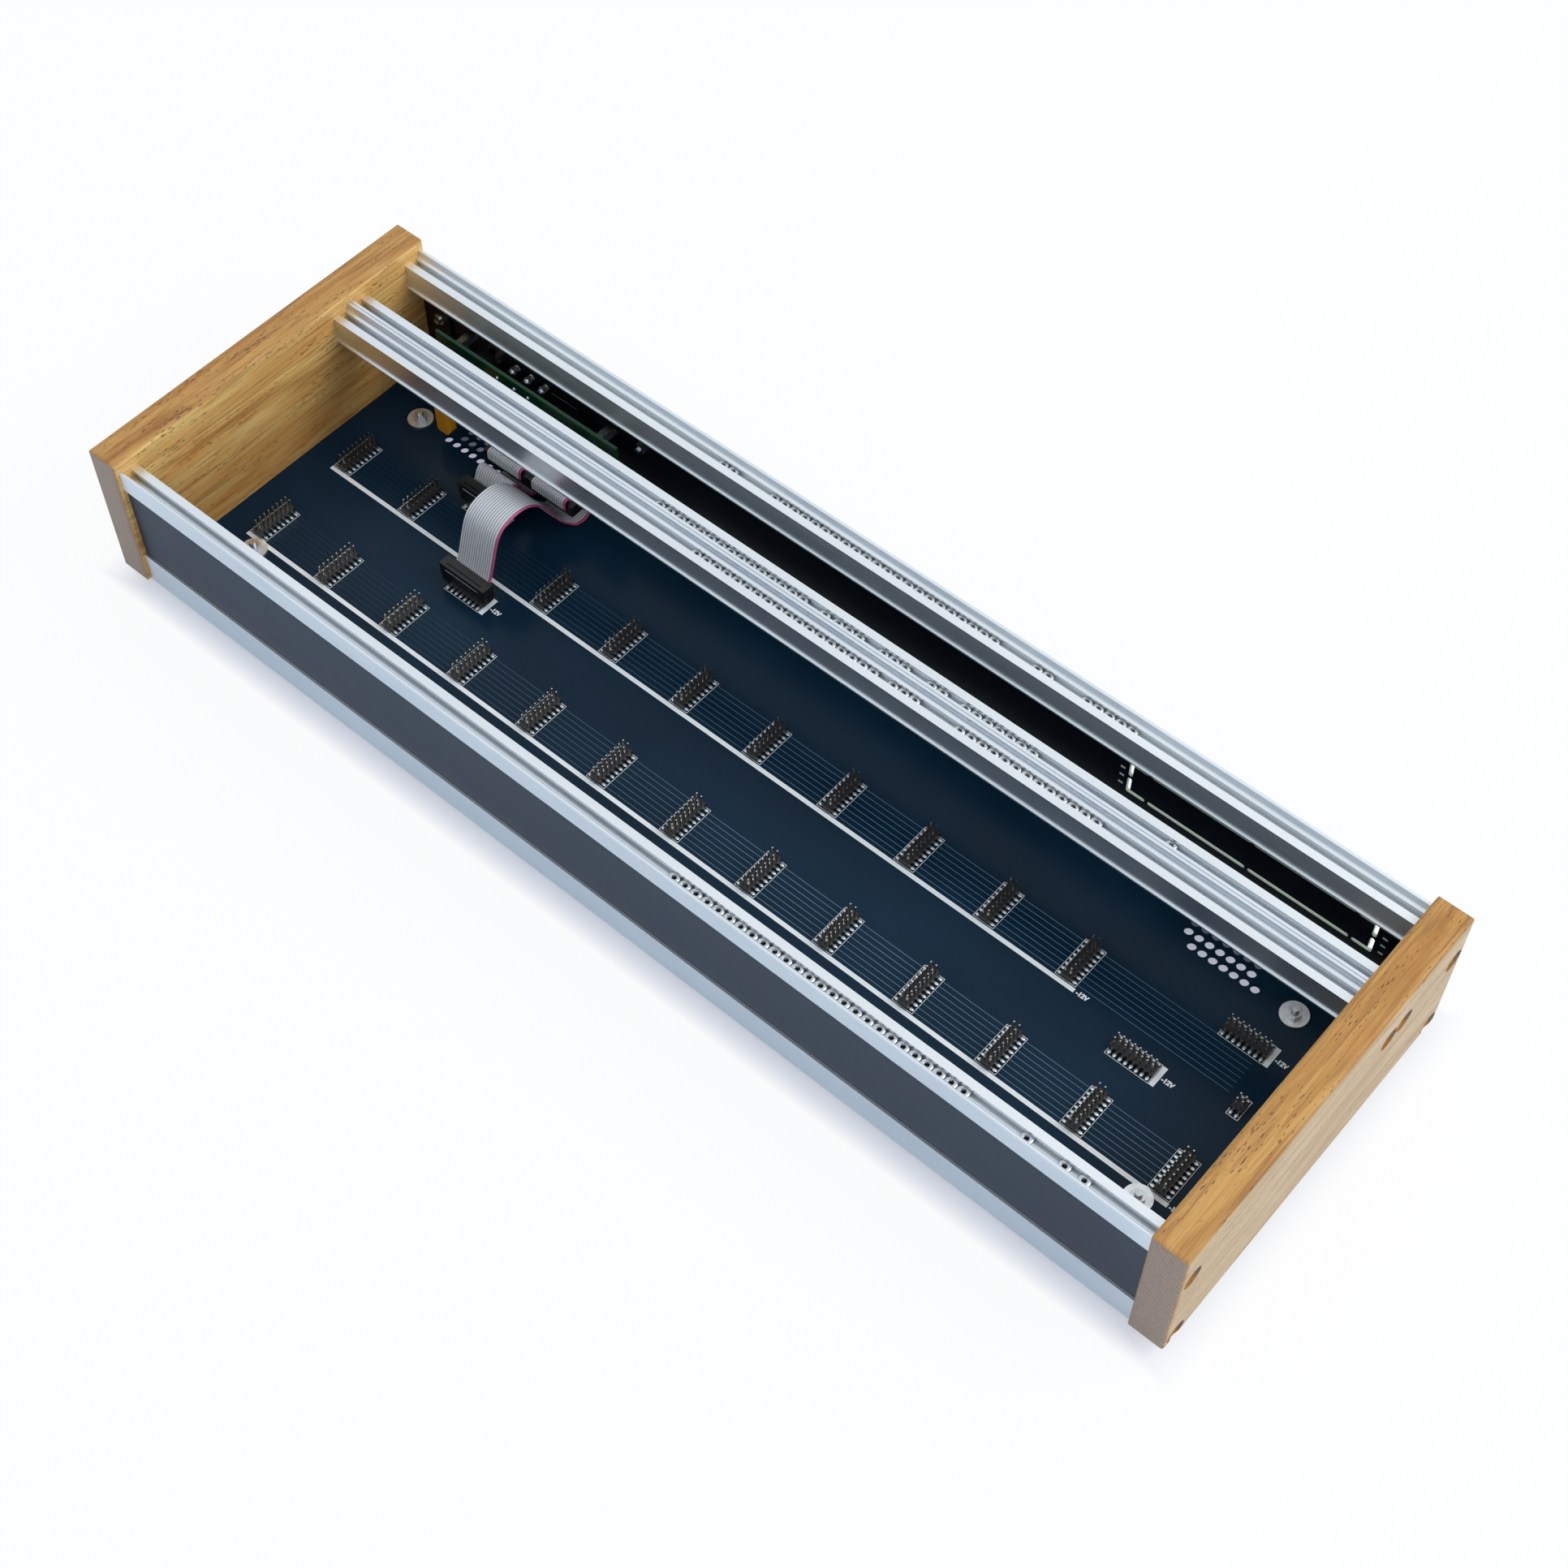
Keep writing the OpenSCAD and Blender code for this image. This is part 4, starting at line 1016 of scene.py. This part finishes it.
edge = add(tree, "ShaderNodeMapRange", {
    "Value": core, "From Min": edge_core - 0.003, "From Max": edge_core + 0.003,
}).outputs[0]
add(tree, "ShaderNodeOutputMaterial", {
    "Surface": add(tree, "ShaderNodeBsdfPrincipled", {
        "Base Color": add(tree, "ShaderNodeMix", {
            0: edge, 6: grey, 7: linear("#B6527A"),
        }, data_type="RGBA").outputs[2],
        "Roughness": 0.42, "IOR": 1.53,
    }).outputs[0],
})
print(RIBBON_VINYL.name)


# %% Both cables
def make_cable(name, node, x, y, arch):
    guide = polyline(name + "_guide", cable_path(x, y, arch), False)
    mesh = grow(name, ribbon_tree, [(0, 0, 0)], {"Path": guide, "Section": section_guide})
    left = place(x - CORES * CORE_PITCH / 2, 0, 0).x
    across = mesh.attributes.new("across", "FLOAT", "POINT")
    across.data.foreach_set(
        "value", [(v.co.x - left) / (CORES * CORE_PITCH * MM) for v in mesh.vertices],
    )
    bm = bmesh.new()
    bm.from_mesh(mesh)
    bmesh.ops.recalc_face_normals(bm, faces=bm.faces)
    bm.to_mesh(mesh)
    bm.free()
    piece = keep(mesh, name, RIBBON_VINYL)
    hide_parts(node)
    bpy.data.objects.remove(guide)
    low = [min(v.co[i] for v in mesh.vertices) * 1000 for i in range(3)]
    high = [max(v.co[i] for v in mesh.vertices) * 1000 for i in range(3)]
    print(name, [round(v, 1) for v in low], [round(v, 1) for v in high])
    return piece


make_cable("front_ribbon_cable", "ribbon_front", *cross_headers[0], FRONT_ARCH)
make_cable("rear_ribbon_cable", "ribbon_rear", *cross_headers[1], REAR_ARCH)
bpy.data.objects.remove(section_guide)

# %% [markdown]
# ## Threads in the sliding nuts, by Geometry Nodes
# Over a hundred small square nuts lie in the rails. Each is punched, so its upper edge is rolled
# over and leaves a dark groove to its neighbour, and tapped, so a dark hole with bright thread
# crests looks up through the slot. One nut is drawn as a mesh with these rolled edges and takes
# the place of each solid nut; two more trees add the crests and, at the bottom of each hole, a
# near-black disc of painted shade.
# The nuts' places are read from the solids: every nut is one loose piece of its node.

# %% Where the nuts lie
def loose_centres(node):
    """Centre of every separate piece of a node, in metres, and the lowest and highest z."""
    source = nodes[node]
    bm = bmesh.new()
    bm.from_mesh(source.data)
    bmesh.ops.remove_doubles(bm, verts=bm.verts, dist=1e-6)
    centres, seen = [], set()
    for start in bm.verts:
        if start.index in seen:
            continue
        group, queue = [], [start]
        seen.add(start.index)
        while queue:
            vert = queue.pop()
            group.append(source.matrix_world @ vert.co)
            for edge in vert.link_edges:
                other = edge.other_vert(vert)
                if other.index not in seen:
                    seen.add(other.index)
                    queue.append(other)
        low = Vector([min(p[i] for p in group) for i in range(3)])
        high = Vector([max(p[i] for p in group) for i in range(3)])
        centres.append(((low + high) / 2, low.z, high.z))
    bm.free()
    return centres


NUT_NODES = ("front_rail_nuts", "middle_front_nuts", "middle_rear_nuts", "rear_rail_nuts")
nuts_of = {node: loose_centres(node) for node in NUT_NODES}
nuts = [nut for node in NUT_NODES for nut in nuts_of[node]]
nut_low, nut_high = nuts[0][1], nuts[0][2]
NUT_SIDE = 5.4
NUT_BORE_R = 1.25
print(len(nuts), "nuts, thick", round((nut_high - nut_low) / MM, 2), "mm")


# %% One nut with rolled edges
def rolled_nut():
    """Square nut as rings of sixteen points: bore, bottom, sides, rolled edge, top."""
    thick = (nut_high - nut_low) / MM

    def square_ring(half, z):
        ring = []
        for k in range(16):
            angle = 2 * math.pi * (k + 0.5) / 16
            reach = half / max(abs(math.cos(angle)), abs(math.sin(angle)))
            corner = half * 2 ** 0.5 / max(abs(math.cos(angle)) + abs(math.sin(angle)), 1e-6)
            r = min(reach, corner * 1.02)
            ring.append((r * math.cos(angle), r * math.sin(angle), z))
        return ring

    def round_ring(z):
        return [(NUT_BORE_R * math.cos(2 * math.pi * (k + 0.5) / 16),
                 NUT_BORE_R * math.sin(2 * math.pi * (k + 0.5) / 16), z) for k in range(16)]

    half = NUT_SIDE / 2
    rings = [
        round_ring(thick), round_ring(0), square_ring(half, 0), square_ring(half, thick - 0.6),
        square_ring(half - 0.2, thick - 0.2), square_ring(half - 0.65, thick),
    ]
    bm = bmesh.new()
    verts = [[bm.verts.new(Vector(p) * MM) for p in ring] for ring in rings]
    for a, b in zip(verts, verts[1:] + verts[:1]):
        for k in range(16):
            bm.faces.new([a[k], a[(k + 1) % 16], b[(k + 1) % 16], b[k]])
    bmesh.ops.recalc_face_normals(bm, faces=bm.faces)
    mesh = bpy.data.meshes.new("rolled_nut")
    bm.to_mesh(mesh)
    bm.free()
    return mesh


def nut_tree():
    tree, given = start_tree("rolled_nuts", [("Nut", "NodeSocketObject")])
    nut = add(tree, "GeometryNodeObjectInfo", {"Object": given.outputs["Nut"]})
    copies = add(tree, "GeometryNodeInstanceOnPoints", {
        "Points": given.outputs["Geometry"], "Instance": nut.outputs["Geometry"],
    })
    end_tree(tree, copies.outputs[0], ZINC)
    return tree


nut_model = bpy.data.objects.new("nut_model", rolled_nut())
bpy.context.scene.collection.objects.link(nut_model)
rolled = nut_tree()
for node in NUT_NODES:
    points = [Vector((c.x, c.y, low)) for c, low, high in nuts_of[node]]
    piece = keep(grow(node + "_rolled", rolled, points, {"Nut": nut_model}), node + "_rolled",
                 ZINC)
    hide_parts(node)
bpy.data.objects.remove(nut_model)


# %% Nut threads
# Painted shade: a near-black disc closes the bottom of each threaded hole, where only shade lies
HOLE_SHADE = grained("painted_hole_shade", "#07080A", "#0D0F12", 0.5, 0.6, 0.0, 0.01)


def nut_thread_tree():
    tree, given = start_tree("nut_threads", [
        ("Bore", "NodeSocketFloat"), ("Depth", "NodeSocketFloat"), ("Pitch", "NodeSocketFloat"),
    ])
    crests = add(tree, "ShaderNodeMath", {
        0: given.outputs["Depth"], 1: given.outputs["Pitch"],
    }, operation="DIVIDE").outputs[0]
    spiral = add(tree, "GeometryNodeCurveSpiral", {
        "Resolution": 14, "Rotations": crests, "Start Radius": given.outputs["Bore"],
        "End Radius": given.outputs["Bore"], "Height": given.outputs["Depth"],
    })
    crest_r = add(tree, "ShaderNodeMath", {
        0: given.outputs["Pitch"], 1: 0.3,
    }, operation="MULTIPLY").outputs[0]
    crest = add(tree, "GeometryNodeCurvePrimitiveCircle", {"Resolution": 3, "Radius": crest_r})
    ridge = add(tree, "GeometryNodeCurveToMesh", {
        "Curve": spiral.outputs[0], "Profile Curve": crest.outputs[0],
    })
    copies = add(tree, "GeometryNodeInstanceOnPoints", {
        "Points": given.outputs["Geometry"], "Instance": ridge.outputs[0],
    })
    end_tree(tree, copies.outputs[0], ZINC)
    return tree


def shade_tree():
    tree, given = start_tree("nut_bottoms", [("Bore", "NodeSocketFloat")])
    disc = add(tree, "GeometryNodeMeshCircle", {"Vertices": 16, "Radius": given.outputs["Bore"]},
               fill_type="NGON")
    copies = add(tree, "GeometryNodeInstanceOnPoints", {
        "Points": given.outputs["Geometry"], "Instance": disc.outputs[0],
    })
    end_tree(tree, copies.outputs[0], HOLE_SHADE)
    return tree


nut_points = [Vector((c.x, c.y, low)) for c, low, high in nuts]
crests = grow("nut_threads", nut_thread_tree(), nut_points, {
    "Bore": 1.22 * MM, "Depth": nut_high - nut_low - 0.1 * MM, "Pitch": 0.45 * MM,
})
keep(crests, "nut_thread_crests", ZINC)
# Each nut's hole gets its disc of painted shade
bottoms = grow("nut_bottoms", shade_tree(), [p + Vector((0, 0, 0.06 * MM)) for p in nut_points],
               {"Bore": 1.2 * MM})
keep(bottoms, "nut_hole_bottoms", HOLE_SHADE)

# %% [markdown]
# ## Threads on the foot screws, by Geometry Nodes
# The ends of the foot screws stand above their nuts, where the light picks out the thread. The
# tree winds a spiral with a small round section and sets a copy on each screw.

# %% Screw threads
def thread_tree():
    tree, given = start_tree(
        "screw_thread",
        [
            ("Radius", "NodeSocketFloat"), ("Height", "NodeSocketFloat"),
            ("Pitch", "NodeSocketFloat"),
        ],
    )
    turns_made = add(tree, "ShaderNodeMath", {
        0: given.outputs["Height"], 1: given.outputs["Pitch"],
    }, operation="DIVIDE").outputs[0]
    spiral = add(tree, "GeometryNodeCurveSpiral", {
        "Resolution": 20, "Rotations": turns_made, "Start Radius": given.outputs["Radius"],
        "End Radius": given.outputs["Radius"], "Height": given.outputs["Height"],
    })
    wire_r = add(tree, "ShaderNodeMath", {
        0: given.outputs["Pitch"], 1: 0.32,
    }, operation="MULTIPLY").outputs[0]
    wire = add(tree, "GeometryNodeCurvePrimitiveCircle", {"Resolution": 6, "Radius": wire_r})
    ridge = add(tree, "GeometryNodeCurveToMesh", {
        "Curve": spiral.outputs[0], "Profile Curve": wire.outputs[0], "Fill Caps": True,
    })
    copies = add(tree, "GeometryNodeInstanceOnPoints", {
        "Points": given.outputs["Geometry"], "Instance": ridge.outputs[0],
    })
    end_tree(tree, copies.outputs[0], ZINC)
    return tree


screw_top = in_case("foot_screws")[1].z
nut_top = in_case("foot_nuts")[1].z
FOOT_IN = 25.0
WASHER_R = 6.0
washer_low, washer_high = in_case("foot_washers")
foot_xs = (FOOT_IN, BAY_LEN - FOOT_IN)
foot_ys = (washer_low.y + WASHER_R, washer_high.y - WASHER_R)
foot_spots = [place(x, y, nut_top) for x in foot_xs for y in foot_ys]
threads = grow("foot_threads", thread_tree(), foot_spots, {
    "Radius": 1.42 * MM, "Height": (screw_top - nut_top - 0.3) * MM, "Pitch": 0.5 * MM,
})
keep(threads, "foot_screw_threads", ZINC)

# %% [markdown]
# ## Solder on the power board
# Where a lead comes through the board a bright cone of solder stands round it. Each is a small
# lathe shape, set on a point by Geometry Nodes.

# %% Solder fillets
def fillet_tree():
    tree, given = start_tree("solder_fillets", [
        ("Radius", "NodeSocketFloat"), ("Height", "NodeSocketFloat"),
    ])
    cone = add(tree, "GeometryNodeMeshCone", {
        "Vertices": 14, "Radius Top": 0.25 * MM, "Radius Bottom": given.outputs["Radius"],
        "Depth": given.outputs["Height"],
    })
    copies = add(tree, "GeometryNodeInstanceOnPoints", {
        "Points": given.outputs["Geometry"], "Instance": cone.outputs[0],
        "Rotation": (math.pi / 2, 0, 0),
    })
    end_tree(tree, copies.outputs[0], SOLDER)
    return tree


solder_face = in_case("power_board")[0].y
led_low, led_high = in_case("indicator_leds")
led_z = (led_low.z + led_high.z) / 2
LED_STEP = 9.0
led_spots = [
    led_low.x + 1.9 + LED_STEP * k + side * PIN_PITCH / 2 for k in range(3) for side in (-1, 1)
]
jack_low, jack_high = in_case("power_jack")
jack_x, jack_z = (jack_low.x + jack_high.x) / 2, (jack_low.z + jack_high.z) / 2
solder_spots = [place(x, solder_face, led_z) for x in led_spots]
solder_spots += [place(x, solder_face, 48.7) for x in (66.2, 76.5, 84.8)]
solder_spots += [
    place(jack_x + dx, solder_face, jack_z + dz) for dx, dz in ((-4, 0), (3, 3), (3, -3))
]
fillets = grow("solder_fillets", fillet_tree(), solder_spots, {
    "Radius": 0.9 * MM, "Height": 0.7 * MM,
})
keep(fillets, "solder_fillets", SOLDER)

# %% [markdown]
# ## Floor, light and camera
# The case stands on a white sweep that runs out of sight. A pale sky gives the plain level of
# light, a touch cooler near the horizon, and one broad lamp behind on the right throws the
# soft shadow to the front and left. Seen by the camera the floor is mostly its own white, so
# that only a breath of the shadow is left.

# %% Floor
floor_mesh = bpy.data.meshes.new("white_sweep")
reach = 6.0
floor_mesh.from_pydata(
    [(-reach, -reach, 0), (reach, -reach, 0), (reach, reach, 0), (-reach, reach, 0)], [],
    [(0, 1, 2, 3)],
)
floor = bpy.data.objects.new("white_sweep", floor_mesh)
bpy.context.scene.collection.objects.link(floor)
# Matt white card: flat and a touch blue in the shade. The camera sees mostly its own white.
WHITE_CARD, tree, where = start_material("white_card")
card = add(tree, "ShaderNodeBsdfDiffuse", {"Color": linear("#E4ECF4")})
rays = add(tree, "ShaderNodeLightPath")
seen = add(tree, "ShaderNodeMath", {
    0: rays.outputs["Is Camera Ray"], 1: rays.outputs["Is Transmission Ray"],
}, operation="MAXIMUM").outputs[0]
ground = add(tree, "ShaderNodeSeparateXYZ", {0: where})
away = []
for axis, half in (("X", BAY_LEN / 2 * MM), ("Y", abs(CASE_ZERO.y))):
    out = add(tree, "ShaderNodeMath", {0: ground.outputs[axis]}, operation="ABSOLUTE").outputs[0]
    away.append(
        add(tree, "ShaderNodeMapRange", {
            "Value": out, "From Min": half * 0.9, "From Max": half * 1.1,
        }).outputs[0]
    )
clear = add(tree, "ShaderNodeMath", {0: away[0], 1: away[1]}, operation="MAXIMUM").outputs[0]
print("floor", floor.name, "reaches", reach, "m")

# %% Floor: what shows through the vent holes
# The floor under the case is painted with light and shade: a lilac glow at half strength makes
# it mid grey in front of a slightly slanted line, and behind it almost no glow leaves it near
# black in its shade, so that the vent holes further back look dark.
SLANT = 5 / 405
SHADE_BEHIND_FOOT = 10.1
slope = add(tree, "ShaderNodeMath", {
    0: ground.outputs["X"], 1: SLANT,
}, operation="MULTIPLY").outputs[0]
slanted = add(tree, "ShaderNodeMath", {
    0: ground.outputs["Y"], 1: slope,
}, operation="SUBTRACT").outputs[0]
shade_starts = CASE_ZERO.y + (foot_ys[1] + SHADE_BEHIND_FOOT) * MM
under = add(tree, "ShaderNodeMapRange", {
    "Value": slanted, "From Min": shade_starts - 0.6 * MM, "From Max": shade_starts + 0.6 * MM,
    "To Min": 0.5, "To Max": 0.06,
}).outputs[0]
beside = add(tree, "ShaderNodeMath", {0: clear, 1: 0.92}, operation="MULTIPLY").outputs[0]
lit = add(tree, "ShaderNodeMath", {0: beside, 1: under}, operation="MAXIMUM").outputs[0]
share = add(tree, "ShaderNodeMath", {0: seen, 1: lit}, operation="MULTIPLY").outputs[0]
# The glow is tinted lilac under the case: a painted tint of shade
glow = add(tree, "ShaderNodeEmission", {
    "Color": add(tree, "ShaderNodeMix", {
        0: clear, 6: linear("#DDE0F2"), 7: (1, 1, 1, 1),
    }, data_type="RGBA").outputs[2],
    "Strength": 1.0,
})
add(tree, "ShaderNodeOutputMaterial", {
    "Surface": add(tree, "ShaderNodeMixShader", {
        0: share, 1: card.outputs[0], 2: glow.outputs[0],
    }).outputs[0],
})
floor_mesh.materials.append(WHITE_CARD)
print("shade starts at Y", round(shade_starts, 4))

# %% Sky
world = bpy.data.worlds.new("studio")
bpy.context.scene.world = world
world.use_nodes = True
tree = world.node_tree
tree.nodes.clear()
direction = add(tree, "ShaderNodeSeparateXYZ", {
    0: add(tree, "ShaderNodeTexCoord").outputs["Generated"],
}).outputs["Z"]
sky = add(tree, "ShaderNodeMix", {
    0: add(tree, "ShaderNodeMapRange", {
        "Value": direction, "From Min": 0.0, "From Max": 0.75,
    }).outputs[0],
    6: linear("#A9BEDA"), 7: linear("#F6F9FC"),
}, data_type="RGBA").outputs[2]
soft = add(tree, "ShaderNodeBackground", {"Color": sky, "Strength": 0.95})
clean = add(tree, "ShaderNodeBackground", {"Color": (1, 1, 1, 1), "Strength": 1.0})
rays = add(tree, "ShaderNodeLightPath")
mixed = add(tree, "ShaderNodeMixShader", {
    0: rays.outputs["Is Camera Ray"], 1: soft.outputs[0], 2: clean.outputs[0],
})
add(tree, "ShaderNodeOutputWorld", {"Surface": mixed.outputs[0]})
print("sky set")

# %% Lamp
lamp_data = bpy.data.lights.new("broad_lamp", "AREA")
lamp_data.shape = "RECTANGLE"
lamp_data.size = 1.0
lamp_data.size_y = 0.8
lamp_data.energy = 13.0
lamp_data.color = (1.0, 0.98, 0.95)
lamp = bpy.data.objects.new("broad_lamp", lamp_data)
bpy.context.scene.collection.objects.link(lamp)
lamp.location = (1.15, 0.65, 1.4)
lamp.rotation_euler = (-lamp.location).to_track_quat("-Z", "Y").to_euler()
print("lamp", lamp_data.energy, "W at", [round(v, 2) for v in lamp.location])

# %% Camera
camera_data = bpy.data.cameras.new("camera")
camera_data.sensor_width = 36.0
camera_data.lens = 58.03
camera_data.clip_start = 0.01
camera = bpy.data.objects.new("camera", camera_data)
bpy.context.scene.collection.objects.link(camera)
ahead = Vector((-0.37251, 0.43376, -0.82042)).normalized()
right = Vector((0.75842, 0.65176, 0.00023))
right = (right - ahead * right.dot(ahead)).normalized()
above = right.cross(ahead)
camera.matrix_world = Matrix.Translation(place(669.77, -353.3, 856.4)) @ Matrix((
    right, above, -ahead
)).transposed().to_4x4()
bpy.context.scene.camera = camera
bpy.context.scene.view_settings.view_transform = "Standard"
print("camera at", [round(v, 3) for v in camera.location])
